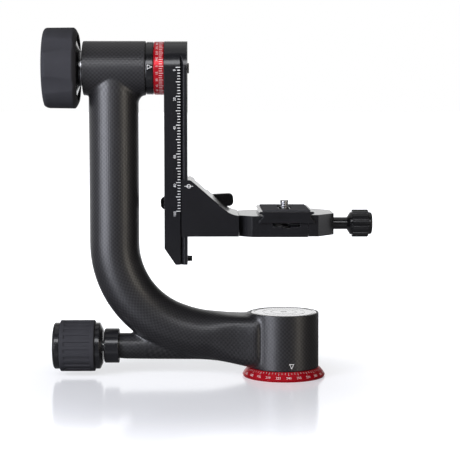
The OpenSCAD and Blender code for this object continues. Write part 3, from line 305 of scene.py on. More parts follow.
def roundPan(mark, radius, degrees, z, slope=0.0):
    # wraps a mark round the pan axis, on a wall that leans in by slope degrees
    s, c = math.sin(math.radians(slope)), math.cos(math.radians(slope))

    def place(p):
        r = radius * mm - p.y * s + p.z * c
        angle = math.radians(degrees) + p.x / (radius * mm)
        return Vector((r * math.cos(angle), r * math.sin(angle), z * mm + p.y * c + p.z * s))
    movePoints(mark, place)
    return mark


def again(mark):
    return copyOf(mark, Matrix.Identity(4))


def dressed(nodeName, bevel, segments=2, edgeAngle=28, smoothAngle=36):
    # a copy of the CAD piece, merged back into whole faces, with its edges eased
    source = frame["nodes"][nodeName]
    mesh = source.data.copy()
    mesh.transform(source.matrix_world)
    obj = bpy.data.objects.new(nodeName + "Copy", mesh)
    scene.collection.objects.link(obj)
    pick(obj)
    bpy.ops.object.shade_flat()
    editMode()
    bpy.ops.mesh.select_all(action="SELECT")
    bpy.ops.mesh.remove_doubles(threshold=4e-6)
    bpy.ops.mesh.dissolve_limited(angle_limit=math.radians(0.6))
    bpy.ops.mesh.normals_make_consistent(inside=False)
    editMode(False)
    crisp(obj, bevel, segments, edgeAngle, smoothAngle)
    return obj


# materials

def newMaterial(name):
    mat = bpy.data.materials.new(name)
    mat.use_nodes = True
    nodes, links = mat.node_tree.nodes, mat.node_tree.links
    return mat, nodes, links, nodes["Principled BSDF"]


def node(nodes, kind, **settings):
    made = nodes.new(kind)
    for key, value in settings.items():
        setattr(made, key, value)
    return made


def maths(nodes, links, how, a, b=None):
    made = nodes.new("ShaderNodeMath")
    made.operation = how
    for i, value in enumerate((a, b)):
        if value is None:
            continue
        if hasattr(value, "is_output"):
            links.new(value, made.inputs[i])
        else:
            made.inputs[i].default_value = value
    return made.outputs[0]


def ramp(nodes, links, source, stops):
    made = nodes.new("ShaderNodeValToRGB")
    elements = made.color_ramp.elements
    while len(elements) < len(stops):
        elements.new(0.5)
    for element, (place, colour) in zip(elements, stops):
        element.position = place
        element.color = (*colour, 1) if len(colour) == 3 else colour
    links.new(source, made.inputs[0])
    return made.outputs[0]


def grey(value):
    return (value, value, value)


def noise(nodes, links, coords, scale, detail=3, rough=0.55):
    made = node(nodes, "ShaderNodeTexNoise")
    made.inputs["Scale"].default_value = scale
    made.inputs["Detail"].default_value = detail
    made.inputs["Roughness"].default_value = rough
    links.new(coords, made.inputs["Vector"])
    return made.outputs["Fac"]


def fade(nodes, links, source, start, end, low, high, how="SMOOTHSTEP"):
    made = node(nodes, "ShaderNodeMapRange", interpolation_type=how)
    links.new(source, made.inputs["Value"])
    for name, value in (("From Min", start), ("From Max", end), ("To Min", low), ("To Max", high)):
        made.inputs[name].default_value = value
    return made.outputs["Result"]


def mixed(nodes, links, share, a, b, how="MIX"):
    made = node(nodes, "ShaderNodeMix", data_type="RGBA", blend_type=how)
    for socket, value in ((made.inputs[0], share), (made.inputs[6], a), (made.inputs[7], b)):
        if hasattr(value, "is_output"):
            links.new(value, socket)
        else:
            socket.default_value = value
    return made.outputs[2]


def bump(nodes, links, height, shader, strength, distance):
    made = node(nodes, "ShaderNodeBump")
    made.inputs["Strength"].default_value = strength
    made.inputs["Distance"].default_value = distance * mm
    links.new(height, made.inputs["Height"])
    links.new(made.outputs["Normal"], shader.inputs["Normal"])


fineShare = 0.6  # how much of a finish's uneven roughness is grain, the rest being cloud


def surface(name, colour, dark, metal, rough, grain, grainHeight, coat=0.0, coatRough=0.1, specular=0.5):
    # one recipe for the plain finishes: a slightly cloudy colour and a fine grain
    mat, nodes, links, shader = newMaterial(name)
    coords = node(nodes, "ShaderNodeTexCoord").outputs["Object"]
    cloud = noise(nodes, links, coords, 60, 3)
    fine = noise(nodes, links, coords, grain, 2, 0.6)
    base = ramp(nodes, links, cloud, [(0.3, dark), (0.7, colour)])
    links.new(base, shader.inputs["Base Color"])
    unevenness = maths(nodes, links, "ADD", maths(nodes, links, "MULTIPLY", cloud, 1 - fineShare),
                       maths(nodes, links, "MULTIPLY", fine, fineShare))
    links.new(fade(nodes, links, unevenness, 0.3, 0.7, rough * 0.95, rough * 1.05, "LINEAR"),
              shader.inputs["Roughness"])
    shader.inputs["Metallic"].default_value = metal
    shader.inputs["Specular IOR Level"].default_value = specular
    shader.inputs["Coat Weight"].default_value = coat
    shader.inputs["Coat Roughness"].default_value = coatRough
    bump(nodes, links, fine, shader, 1.0, grainHeight)
    return mat


def turnedMetal(name, colour, rough, ringGap, metal=1.0):
    # lathe-turned face: fine rings round the pan axis, read from the object's own coordinates
    mat, nodes, links, shader = newMaterial(name)
    coords = node(nodes, "ShaderNodeTexCoord").outputs["Object"]
    split = node(nodes, "ShaderNodeSeparateXYZ")
    links.new(coords, split.inputs[0])
    x, y = split.outputs["X"], split.outputs["Y"]
    squares = [maths(nodes, links, "MULTIPLY", side, side) for side in (x, y)]
    radius = maths(nodes, links, "SQRT", maths(nodes, links, "ADD", *squares))
    turns = maths(nodes, links, "MULTIPLY", radius, 2 * math.pi / (ringGap * mm))
    rings = maths(nodes, links, "SINE", turns)
    cloud = noise(nodes, links, coords, 90, 2)
    base = ramp(nodes, links, cloud, [(0.3, tuple(c * 0.97 for c in colour)), (0.7, colour)])
    links.new(base, shader.inputs["Base Color"])
    links.new(ramp(nodes, links, cloud, [(0.3, grey(rough * 0.95)), (0.7, grey(rough * 1.05))]),
              shader.inputs["Roughness"])
    shader.inputs["Metallic"].default_value = metal
    bump(nodes, links, rings, shader, 0.25, 0.002)
    return mat


def carbonCloth(tow=1.5):
    # plain weave under a satin coat, on the arm's own map in mm along and round the tube
    mat, nodes, links, shader = newMaterial("carbonCloth")
    uv = node(nodes, "ShaderNodeUVMap", uv_map="cloth")
    split = node(nodes, "ShaderNodeSeparateXYZ")
    links.new(uv.outputs["UV"], split.inputs[0])
    pitch = math.pi / tow
    su = maths(nodes, links, "SINE", maths(nodes, links, "MULTIPLY", split.outputs["X"], pitch))
    sv = maths(nodes, links, "SINE", maths(nodes, links, "MULTIPLY", split.outputs["Y"], pitch))
    edge = 0.18
    check = fade(nodes, links, maths(nodes, links, "MULTIPLY", su, sv), -edge, edge, 0.0, 1.0)
    crownU = maths(nodes, links, "ABSOLUTE", su)
    crownV = maths(nodes, links, "ABSOLUTE", sv)
    height = node(nodes, "ShaderNodeMix", data_type="FLOAT")
    links.new(check, height.inputs[0])
    links.new(crownU, height.inputs[2])
    links.new(crownV, height.inputs[3])
    coords = node(nodes, "ShaderNodeTexCoord").outputs["Object"]
    cloud = noise(nodes, links, coords, 45, 3)
    towTone = mixed(nodes, links, check, (0.010, 0.010, 0.011, 1), (0.030, 0.029, 0.031, 1))
    cloudTone = ramp(nodes, links, cloud, [(0.25, grey(0.75)), (0.75, grey(1.0))])
    shade = mixed(nodes, links, 1.0, towTone, cloudTone, "MULTIPLY")
    links.new(shade, shader.inputs["Base Color"])
    links.new(ramp(nodes, links, check, [(0.0, grey(0.44)), (1.0, grey(0.34))]),
              shader.inputs["Roughness"])
    shader.inputs["Specular IOR Level"].default_value = 0.55
    shader.inputs["Coat Weight"].default_value = 0.18
    shader.inputs["Coat Roughness"].default_value = 0.28
    bump(nodes, links, height.outputs[0], shader, 0.9, 0.05)
    return mat


finish = {
    "carbon": carbonCloth(),
    "red_anodised": surface("redAnodised", (0.60, 0.006, 0.018), (0.55, 0.005, 0.015), 0.45, 0.30, 2600,
                            0.003, coat=0.15, coatRough=0.18),
    "black_anodised": surface("blackAnodised", (0.014, 0.014, 0.016), (0.012, 0.012, 0.0135), 0.0, 0.24,
                              3200, 0.004, coat=0.40, coatRough=0.10),
    "black_gloss": surface("blackGloss", (0.011, 0.011, 0.012), (0.009, 0.009, 0.010), 0.0, 0.24, 1800,
                           0.003, coat=0.5, coatRough=0.12),
    "rubber": surface("rubber", (0.050, 0.050, 0.056), (0.044, 0.044, 0.049), 0.0, 0.68, 2400, 0.015,
                      specular=0.06),
    "silver": turnedMetal("turnedSilver", (0.86, 0.86, 0.87), 0.20, 0.9, 0.85),
    "polished": surface("polishedBevel", (0.88, 0.88, 0.89), (0.84, 0.84, 0.85), 1.0, 0.10, 1500, 0.001),
    "steel": surface("groundSteel", (0.60, 0.60, 0.61), (0.54, 0.54, 0.55), 1.0, 0.30, 2200, 0.004),
    "black_steel": surface("blackOxide", (0.03, 0.03, 0.03), (0.022, 0.022, 0.022), 0.6, 0.34, 2200,
                           0.004),
    "brass": surface("turnedBrass", (0.75, 0.58, 0.28), (0.68, 0.51, 0.23), 1.0, 0.28, 2000, 0.004),
}
whitePaint = surface("whitePaint", (0.86, 0.86, 0.84), (0.78, 0.78, 0.76), 0.0, 0.5, 1800, 0.002)
scalePaint = surface("scalePaint", (0.78, 0.60, 0.58), (0.68, 0.50, 0.49), 0.0, 0.5, 1800, 0.002)
greyPaint = surface("fadedPaint", (0.55, 0.40, 0.38), (0.42, 0.28, 0.27), 0.0, 0.5, 1800, 0.002)
slotOf = {row["node"]: row["material_slot"] for row in frame["record"]["subparts"]}

for name, obj in frame["nodes"].items():
    obj.data.materials.clear()
    obj.data.materials.append(finish[slotOf[name]])


def done(obj, name, body, slot, *nodes, marks=()):
    # paints a finished piece, adds its painted marks, and sets it on its body
    obj.data.materials.clear()
    obj.data.materials.append(finish[slot])
    for face in obj.data.polygons:
        face.material_index = 0
    for mark, paint in marks:
        mark.data.materials.clear()
        mark.data.materials.append(paint)
    if marks:
        obj = joined(obj, *[mark for mark, paint in marks])
    obj.name = name
    obj.data.name = name
    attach(obj, body)
    if nodes:
        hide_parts(*nodes)
    print("made", name)
    return obj


# carbon arm

arm = {
    "tubeR": 17.6,
    "bendR": 64.9,
    "bendX": -56.0,
    "lowZ": 31.3,
    "barrelR": 19.1,
    "hubR": 25.0,
    "hubTop": 46.0,
    "hubFoot": 6.8,
    "flareR": 100.0,
    "flareEnd": -18.6,
    "topDrop": 3.8,
    "lowDrop": 6.4,
    "squareness": 4.5,
    "bossR": 9.0,
    "fillet": 5.4,
    "voxel": 0.85,
    "blendSteps": 70,
    # how far the low tube's upper and lower lines sink, by X
    "upperSink": [(-70, 0.0), (-62, 0.7), (-55, 1.7), (-48, 2.2), (-41, 2.2), (-34, 1.5), (-28, 1.0),
                  (-25, 0.6), (-22, 0.0)],
    "lowerSink": [(-119, 0.0), (-112, 0.6), (-90, 0.9), (-60, 1.1), (-54, 1.5), (-48, 2.1), (-40, 1.9),
                  (-32, 1.3), (-27, 0.5), (-23, 0.0)],
    "sinkBelow": 1.6,  # tube radii over the low tube's axis: nothing higher sinks
    "bossEnd": -121,
    "barrelBore": 16.25,
    "hubBore": 21.55,
    "rodBore": 6.55,
    "capSeat": 43.5,
    "capSeatR": 23.9,
    "spare": 4,  # barrel, hub and boss start this much too long, and are cut true
    "bossWeldX": (-112, -50),
    "bossWeldTop": 55,
    "barrelWeldLow": 190,
    "weldSteps": 14,
    "blendX": (-44, -3),
    "blendEase": (10, 12),
    "blendTop": 60,
    "finalSteps": 2,
    "markSize": (3.7, 3.9, 0.42),
    "markTurn": -80.0,
    "markZ": 10.3,
}


def flareRing(x, count):
    # the tube's section on its way to the hub: a circle that squares up
    a = arm
    s = min(1.0, (x - a["bendX"]) / (-a["hubR"] - a["bendX"]))
    ease = s * s * (3 - 2 * s)
    hubR = a["hubR"] - 0.4
    arcX = -math.sqrt((hubR + a["flareR"]) ** 2 - (a["tubeR"] + a["flareR"]) ** 2)
    halfY = a["tubeR"]
    if x > arcX:
        halfY = a["tubeR"] + a["flareR"] - math.sqrt(a["flareR"] ** 2 - (x - arcX) ** 2)
    top = a["lowZ"] + a["tubeR"] - a["topDrop"] * ease
    low = a["lowZ"] - a["tubeR"] - a["lowDrop"] * s * s
    power = 2 / (2 + (a["squareness"] - 2) * ease)
    ring = []
    for i in range(count):
        c, sn = math.cos(2 * math.pi * i / count), math.sin(2 * math.pi * i / count)
        ring.append((x, halfY * math.copysign(abs(c) ** power, c),
                     (top + low) / 2 + (top - low) / 2 * math.copysign(abs(sn) ** power, sn)))
    return ring


def tubeAlongPath(radius, toHub):
    # upright, quarter bend and the lower tube, drawn as one extrusion
    sides = 96
    deselectAll()
    bpy.ops.mesh.primitive_circle_add(vertices=sides, radius=radius * mm, fill_type="NOTHING",
                                      location=(uprightX * mm, 0, tiltZ * mm))
    obj = bpy.context.object
    bpy.ops.object.transform_apply(location=True, rotation=True, scale=True)
    editMode()
    bpy.ops.mesh.select_all(action="SELECT")
    bendZ = arm["lowZ"] + arm["bendR"]
    bpy.ops.mesh.extrude_region_move(TRANSFORM_OT_translate={"value": (0, 0, (bendZ - tiltZ) * mm)})
    bpy.ops.mesh.spin(steps=40, angle=math.pi / 2, center=Vector((arm["bendX"], 0, bendZ)) * mm,
                      axis=(0, 1, 0))
    bpy.ops.mesh.extrude_region_move(TRANSFORM_OT_translate={"value": (toHub * mm, 0, 0)})
    bpy.ops.mesh.select_all(action="SELECT")
    bpy.ops.mesh.remove_doubles(threshold=2e-6)
    bpy.ops.mesh.fill_holes(sides=0)
    tidyMesh(obj)
    return obj


def flareSolid():
    count, steps = 96, 36
    first, last = arm["bendX"] - 0.4, arm["flareEnd"]
    rings = [flareRing(first + (last - first) * k / steps, count) for k in range(steps + 1)]
    deselectAll()
    bpy.ops.mesh.primitive_circle_add(vertices=count, radius=arm["tubeR"] * mm, fill_type="NGON",
                                      location=(first * mm, 0, arm["lowZ"] * mm),
                                      rotation=(0, math.pi / 2, 0))
    obj = bpy.context.object
    bpy.ops.object.transform_apply(location=True, rotation=True, scale=True)
    editMode()
    bpy.ops.mesh.select_all(action="SELECT")
    push = ((last - first) / steps * mm, 0, 0)
    for k in range(steps):
        bpy.ops.mesh.extrude_region_move(TRANSFORM_OT_translate={"value": push})
    editMode(False)
    # each ring's points take the section's shape, in order of their angle
    byRing = {}
    for v in obj.data.vertices:
        byRing.setdefault(round((v.co.x / mm - first) / (last - first) * steps), []).append(v)
    for k, verts in byRing.items():
        for v in verts:
            turn = math.atan2(v.co.z - arm["lowZ"] * mm, v.co.y) % (2 * math.pi)
            v.co = Vector(rings[k][round(turn / (2 * math.pi) * count) % count]) * mm
    tidyMesh(obj)
    return obj


def saddle():
    # fillet between the upright and the barrel's right side
    def section(angle):
        f = arm["fillet"] * math.cos(angle) ** 2
        r = arm["tubeR"] - 0.2
        line = [(r + f * (1 - math.cos(math.radians(15 * k))),
                 0.2 - f * (1 - math.sin(math.radians(15 * k)))) for k in range(7)]
        line += [(r + f, 2), (r - 3, 2), (r - 3, 0.2 - f)]
        ring = []
        for out, up in line:
            y = out * math.sin(angle)
            under = tiltZ - math.sqrt(max(0.0, arm["barrelR"] ** 2 - y * y))
            ring.append(Vector((uprightX + out * math.cos(angle), y, under + up)) * mm)
        return ring

    steps, last = 28, math.radians(78)
    rings = [section(last - 2 * last * k / steps) for k in range(steps + 1)]
    obj = wire("saddle", rings[0])
    bpy.ops.mesh.select_all(action="SELECT")
    bpy.ops.mesh.edge_face_add()
    for k in range(steps):
        bpy.ops.mesh.extrude_region_move(TRANSFORM_OT_translate={"value": (0, 0, 0)})
    editMode(False)
    count = len(rings[0])
    # extrude adds each ring's points in the order of the first
    verts = obj.data.vertices
    for k in range(steps + 1):
        for i in range(count):
            verts[k * count + i].co = rings[k][i]
    tidyMesh(obj)
    return obj


def clothMap(obj):
    # how far each point lies along and round its part of the arm, in mm
    a = arm
    bendZ = a["lowZ"] + a["bendR"]
    quarter = a["bendR"] * math.pi / 2
    layer = obj.data.uv_layers.new(name="cloth")
    values = [0.0] * (2 * len(obj.data.loops))
    for face in obj.data.polygons:
        c = face.center / mm
        beside = abs(c.x - uprightX) > a["tubeR"]
        if c.z > tiltZ - 22.5 and (c.z > tiltZ - 18.6 or beside):
            kind = "barrel"
        elif math.hypot(c.x, c.y) < a["hubR"] + 0.6 and c.x > -21.5:
            kind = "hub"
        elif c.x < -100 and c.z < 32 and math.hypot(c.y, c.z - panLockZ) < a["bossR"] + 1.2:
            kind = "boss"
        elif c.z > bendZ:
            kind = "upright"
        elif c.x < a["bendX"]:
            kind = "bend"
        else:
            kind = "low"

        def place(p):
            if kind == "barrel":
                return p.x, math.atan2(p.y, tiltZ - p.z), a["barrelR"]
            if kind == "hub":
                return p.z, math.atan2(p.y, p.x), a["hubR"]
            if kind == "boss":
                return p.x, math.atan2(p.y, p.z - panLockZ), a["bossR"]
            if kind == "upright":
                return tiltZ - p.z, math.atan2(p.y, p.x - uprightX), a["tubeR"]
            if kind == "bend":
                turn = math.atan2(bendZ - p.z, a["bendX"] - p.x)
                out = math.hypot(bendZ - p.z, a["bendX"] - p.x) - a["bendR"]
                return tiltZ - bendZ + a["bendR"] * turn, math.atan2(p.y, -out), a["tubeR"]
            along = tiltZ - bendZ + quarter + p.x - a["bendX"]
            return along, math.atan2(p.y, p.z - a["lowZ"]), a["tubeR"]

        middle = place(c)[1]
        for i in face.loop_indices:
            along, turn, radius = place(obj.data.vertices[obj.data.loops[i].vertex_index].co / mm)
            if turn - middle > math.pi:
                turn -= 2 * math.pi
            elif turn - middle < -math.pi:
                turn += 2 * math.pi
            values[2 * i], values[2 * i + 1] = along, turn * radius
    layer.data.foreach_set("uv", values)


def sinkAt(line, x):
    # the depth at x, read off a broken line
    for (x0, d0), (x1, d1) in zip(line, line[1:]):
        if x0 <= x <= x1:
            return d0 + (d1 - d0) * (x - x0) / (x1 - x0)
    return 0.0


def sunk(p):
    # lowers the low tube's outline, most at its top and bottom lines
    x, up = p.x / mm, (p.z / mm - arm["lowZ"]) / arm["tubeR"]
    depth = sinkAt(arm["upperSink"] if up > 0 else arm["lowerSink"], x)
    if up > arm["sinkBelow"]:
        return p
    return Vector((p.x, p.y, p.z - depth * min(1.0, up * up) * mm))


def makeArm():
    a, spare = arm, arm["spare"]
    tiltAt, lockAt = (0, 0, tiltZ), (0, 0, panLockZ)
    body = joined(
        tubeAlongPath(a["tubeR"], 0.6),
        flareSolid(),
        saddle(),
        rod("barrel", a["barrelR"], barrelLeft - spare, barrelRight + spare, "X", tiltAt, sides=128),
        rod("hub", a["hubR"], a["hubFoot"] - spare, a["hubTop"] + spare, "Z", sides=160),
        rod("boss", a["bossR"], a["bossEnd"] - spare, -38, "X", lockAt, sides=96),
    )
    applyModifier(body, "REMESH", mode="VOXEL", voxel_size=a["voxel"] * mm, use_smooth_shade=True)
    movePoints(body, sunk)
    print("arm remeshed,", len(body.data.polygons), "faces")

    # creases are eased where the real cloth runs over them: the boss, and under the barrel's right side
    weld = body.vertex_groups.new(name="weld")
    for v in body.data.vertices:
        p = v.co / mm
        boss = a["bossWeldX"][0] < p.x < a["bossWeldX"][1] and p.z < a["bossWeldTop"]
        under = p.x > uprightX + 6 and a["barrelWeldLow"] < p.z < tiltZ - 8
        if boss or under:
            weld.add([v.index], 1.0, "REPLACE")
    applyModifier(body, "SMOOTH", factor=0.5, iterations=a["weldSteps"], vertex_group="weld")
    # the flare runs into the hub without a seam
    blend = body.vertex_groups.new(name="blend")
    start, end = a["blendX"]
    for v in body.data.vertices:
        p = v.co / mm
        if p.z < a["blendTop"] and start < p.x < end:
            amount = min(1.0, (p.x - start) / a["blendEase"][0], (end - p.x) / a["blendEase"][1])
            blend.add([v.index], amount, "REPLACE")
    applyModifier(body, "SMOOTH", factor=0.5, iterations=a["blendSteps"], vertex_group="blend")
    applyModifier(body, "SMOOTH", factor=0.5, iterations=a["finalSteps"])

    # ends are cut true, with their small rounding, and the bores opened
    def rim(r, x, side, rounding):
        return [(r - rounding, x), (r - rounding * 0.62, x + side * rounding * 0.1),
                (r - rounding * 0.29, x + side * rounding * 0.29),
                (r - rounding * 0.1, x + side * rounding * 0.62), (r + 0.05, x + side * rounding)]

    hubTop, foot, outside = a["hubTop"], a["hubFoot"], 40
    seat, seatR = a["capSeat"], a["capSeatR"]
    tools = [
        turned("endLeft", [(0, -150), (0, barrelLeft)] + rim(a["barrelR"], barrelLeft, 1, 0.8)
               + [(30, barrelLeft + 0.8), (30, -150)], tiltAt, "X", 128),
        turned("endRight", [(0, -90), (0, barrelRight)] + rim(a["barrelR"], barrelRight, -1, 0.5)
               + [(30, barrelRight - 0.5), (30, -90)], tiltAt, "X", 128),
        turned("topCut", [(0, seat), (seatR, seat), (seatR, hubTop)] + rim(a["hubR"], hubTop, -1, 0.5)
               + [(outside, hubTop - 0.5), (outside, 60), (0, 60)], (0, 0, 0), "Z", 160),
        turned("footCut", [(0, -4), (0, foot)] + rim(a["hubR"], foot, 1, 0.4)
               + [(outside, foot + 0.4), (outside, -4)], (0, 0, 0), "Z", 160),
        rod("barrelBore", a["barrelBore"], barrelLeft - 9, barrelRight + 9, "X", tiltAt, sides=96),
        rod("hubBore", a["hubBore"], 2, 45, "Z", sides=96),
        rod("bossEnd", 14, -130, a["bossEnd"], "X", lockAt, sides=32),
        rod("rodBore", a["rodBore"], -123, -20, "X", lockAt, sides=48),
    ]
    for tool in tools:
        cut(body, tool)
    clothMap(body)
    pick(body)
    bpy.ops.object.shade_smooth_by_angle(angle=math.radians(34))

    mark = roundPan(triangleMark(*a["markSize"]), a["hubR"] - 0.04, a["markTurn"], a["markZ"])
    done(body, "carbonArm", "arm", "carbon", "carbon_arm", marks=[(mark, whitePaint)])


makeArm()


# base and hub

dial = {"rimR": 29.6, "rimZ": 1.3, "bandR": 27.5, "bandZ": 4.4, "topR": 25.2, "topZ": 6.5,
        "screws": 4, "screwCircle": 15.2, "screwR": 2.05, "sinkR": 5.05, "sinkDeep": 2.0,
        "tickFrom": -80.6, "tickStep": 5, "ticks": 72,
        "tick": (0.42, 1.55), "tickR": 26.2, "tickZ": 5.62,
        "mainTick": (0.46, 2.3), "mainTickR": 26.5, "mainTickZ": 5.28, "tickSlope": 47.6,
        "numbers": 24, "numberStep": 15, "firstNumber": 240, "numberTall": 1.75,
        "numberR": 28.56, "numberZ": 2.84, "numberSlope": 34.1}


def makeBaseDial():
    d = dial
    body = turned("baseDial", [(7.11, 0), (29.0, 0), (d["rimR"], d["rimZ"]), (d["bandR"], d["bandZ"]),
                               (d["topR"], d["topZ"]), (12.55, d["topZ"]), (12.55, 2.95), (7.11, 2.95)],
                  (0, 0, 0), "Z", 180)
    for k in range(d["screws"]):
        turn = math.radians(45 + 360 / d["screws"] * k)
        centre = (d["screwCircle"] * math.cos(turn), d["screwCircle"] * math.sin(turn), 0)
        cut(body, rod("hole", d["screwR"], -1, 10, "Z", centre, 40))
        cut(body, rod("sink", d["sinkR"], -1.0, d["sinkDeep"], "Z", centre, 40, endRadius=d["screwR"]))
    crisp(body, 0.22, 2, 30)
    ticks, numbers = [], []
    short, long = flatMark("tick", *d["tick"]), flatMark("tick", *d["mainTick"])
    for k in range(d["ticks"]):
        # every third tick, with a number under it, is longer
        turn = d["tickFrom"] + d["tickStep"] * k
        if k % 3 == 2:
            ticks.append(roundPan(again(long), d["mainTickR"], turn, d["mainTickZ"], d["tickSlope"]))
        else:
            ticks.append(roundPan(again(short), d["tickR"], turn, d["tickZ"], d["tickSlope"]))
    for k in range(d["numbers"]):
        number = numberMark(str((d["firstNumber"] + d["numberStep"] * k) % 360), d["numberTall"])
        turn = d["tickFrom"] - d["tickStep"] + d["numberStep"] * k
        numbers.append(roundPan(number, d["numberR"], turn, d["numberZ"], d["numberSlope"]))
    bpy.data.objects.remove(short)
    bpy.data.objects.remove(long)
    marks = [(t, greyPaint) for t in ticks] + [(n, scalePaint) for n in numbers]
    done(body, "baseDial", "base", "red_anodised", "base_disc", marks=marks)


hubCap = {"under": 44.0, "top": 45.8, "radius": 22.3, "grooves": (21.2, 15.2, 9.4), "grooveZ": 45.58}


def makeHubCap():
    c = hubCap
    top, r0, deep = c["top"], c["radius"], c["grooveZ"]
    grooves = []
    for r in c["grooves"]:
        grooves += [(r + 0.35, top), (r + 0.12, deep), (r - 0.12, deep), (r - 0.35, top)]
    body = turned("hubCap", [(0, c["under"]), (r0, c["under"]), (r0, 45.62), (22.1, top)] + grooves
                  + [(2.6, top), (2.2, 45.6), (0, 45.6)], (0, 0, 0), "Z", 160, close=False)
    crisp(body, 0.0, smoothAngle=20)
    done(body, "hubCap", "arm", "silver", "hub_cap")
    ring = turned("capRing", [(20.3, 43.5), (23.75, 43.5), (23.85, 43.6), (23.85, 45.25), (23.3, 45.86),
                              (23.1, 46.0), (22.85, 46.0), (22.35, 45.7), (22.35, 43.95), (20.3, 43.95)],
                  (0, 0, 0), "Z", 160)
    crisp(ring, 0.06, 2, 25, 30)
    done(ring, "capRing", "arm", "polished", "cap_ring")


makeBaseDial()
makeHubCap()


# pan lock

panGrip = {"low": -160.05, "high": -135.15, "radius": 18.3, "ribEnd": 3.25, "ribDeep": 0.7, "sides": 132,
           "facesPerRib": 6}


def makePanLock():
    at = (0, 0, panLockZ)
    ferrule = turned("panFerrule", [(4.6, -128.6), (11.6, -128.6), (12.4, -127.8), (12.4, -118.4),
                                    (12.0, -118.0), (9.05, -118.0), (9.05, -121.0), (4.6, -121.0)],
                     at, "X", 96)
    crisp(ferrule, 0.2, 2)
    done(ferrule, "panFerrule", "arm", "black_anodised", "pan_ferrule")
    core = turned("panKnobCore", [(0, -163.6), (16.6, -163.6), (16.6, -160.1), (13.7, -160.1),
                                  (13.7, -135.1), (16.6, -135.1), (16.6, -131.6), (12.4, -129.6),
                                  (4.05, -129.6), (4.05, -145.65), (0, -145.65)],
                  at, "X", 112, close=False)
    crisp(core, 0.4, 3, 25)
    done(core, "panKnobCore", "pan_knob", "black_anodised", "pan_knob_core")

    # ribbed rubber sleeve: every second group of three faces is pushed in
    g = panGrip
    low, high, r, ribEnd = g["low"], g["high"], g["radius"], g["ribEnd"]
    grip = turned("panKnobGrip", [(13.75, low), (17.5, low), (18.1, low + 0.25), (r, low + 0.8),
                                  (r, low + ribEnd), (r, high - ribEnd), (r, high - 0.8),
                                  (18.1, high - 0.25), (17.5, high), (13.75, high)], at, "X", g["sides"])

    def inRecess(face):
        c = face.center / mm
        fromMiddle = abs(c.x - (low + high) / 2)
        if math.hypot(c.y, c.z - panLockZ) < r - 0.3 or fromMiddle > (high - low) / 2 - ribEnd:
            return False
        place = int(math.degrees(math.atan2(c.z - panLockZ, c.y)) % 360 / 360 * g["sides"])
        return place % g["facesPerRib"] < g["facesPerRib"] / 2

    selectFaces(grip, inRecess)
    bpy.ops.mesh.extrude_region_shrink_fatten(TRANSFORM_OT_shrink_fatten={"value": -g["ribDeep"] * mm})
    editMode(False)
    crisp(grip, 0.24, 2, 32, 40)
    done(grip, "panKnobGrip", "pan_knob", "rubber", "pan_knob_grip")
    cap = turned("panKnobCap", [(0, -165.15), (13.6, -165.15), (15.4, -164.8), (16.2, -164.3),
                                (16.6, -163.65), (0, -163.65)], at, "X", 112, close=False)
    crisp(cap, 0.0, smoothAngle=40)
    done(cap, "panKnobCap", "pan_knob", "black_anodised", "pan_knob_cap")


makePanLock()


# tilt axis: index collar, scale ring and knob

tiltScale = {"markSize": (3.6, 3.8, 0.42), "markR": 18.58, "markTurn": 1.2, "markX": -94.7,
             "scaleR": 18.63, "zeroTurn": 2.7, "ticks": 72, "tickStep": 5,
             "tick": (2.3, 0.42), "tickX": -87.25, "mainTick": (3.1, 0.46), "mainTickX": -86.85,
             "numbers": 24, "numberStep": 15, "numberTall": 1.55, "numberX": -89.75}


def makeTiltScale():
    s, at = tiltScale, (0, 0, tiltZ)
    collar = turned("indexCollar", [(11.5, -97.95), (18.1, -97.95), (18.1, -97.25), (18.6, -97.25),
                                    (18.6, -92.8), (18.25, -92.45), (11.5, -92.45)], at, "X", 144)
    crisp(collar, 0.12, 2)
    mark = roundTilt(triangleMark(*s["markSize"]), s["markR"], s["markTurn"], s["markX"],
                     onSide=True)
    done(collar, "indexCollar", "arm", "black_gloss", "index_collar", marks=[(mark, whitePaint)])

    ring = turned("tiltScaleRing", [(11.5, -92.15), (18.25, -92.15), (18.65, -91.75), (18.65, -85.35),
                                    (18.25, -84.95), (14.45, -84.95), (14.45, -89.0), (11.5, -89.0)],
                  at, "X", 144)
    crisp(ring, 0.1, 2)
    short, long = flatMark("tick", *s["tick"]), flatMark("tick", *s["mainTick"])
    marks = []
    for k in range(s["ticks"]):
        main = k % 3 == 0
        turn = s["zeroTurn"] + s["tickStep"] * k
        marks.append(roundTilt(again(long if main else short), s["scaleR"], turn,
                               s["mainTickX"] if main else s["tickX"]))
    for k in range(s["numbers"]):
        turn = s["numberStep"] * k
        number = numberMark(str((360 - turn) % 360), s["numberTall"])
        marks.append(roundTilt(number, s["scaleR"], s["zeroTurn"] + turn, s["numberX"],
                               onSide=True))
    bpy.data.objects.remove(short)
    bpy.data.objects.remove(long)
    done(ring, "tiltScaleRing", "swing", "red_anodised", "tilt_scale_ring",
         marks=[(m, scalePaint) for m in marks])


tiltKnob = {"face": -169.5, "back": -145.5, "radius": 28.5, "round": 3.0, "scallops": 6,
            "firstScallop": 34, "scallopR": 34.0, "depth": 1.5, "lean": 2.5, "voxel": 0.5,
            "coreR": 14.05, "capR": 10.05, "capDeep": 7.95, "plateR": 23.55, "plateDeep": 3.05,
            "dome": 50.5, "capFace": -170.5}


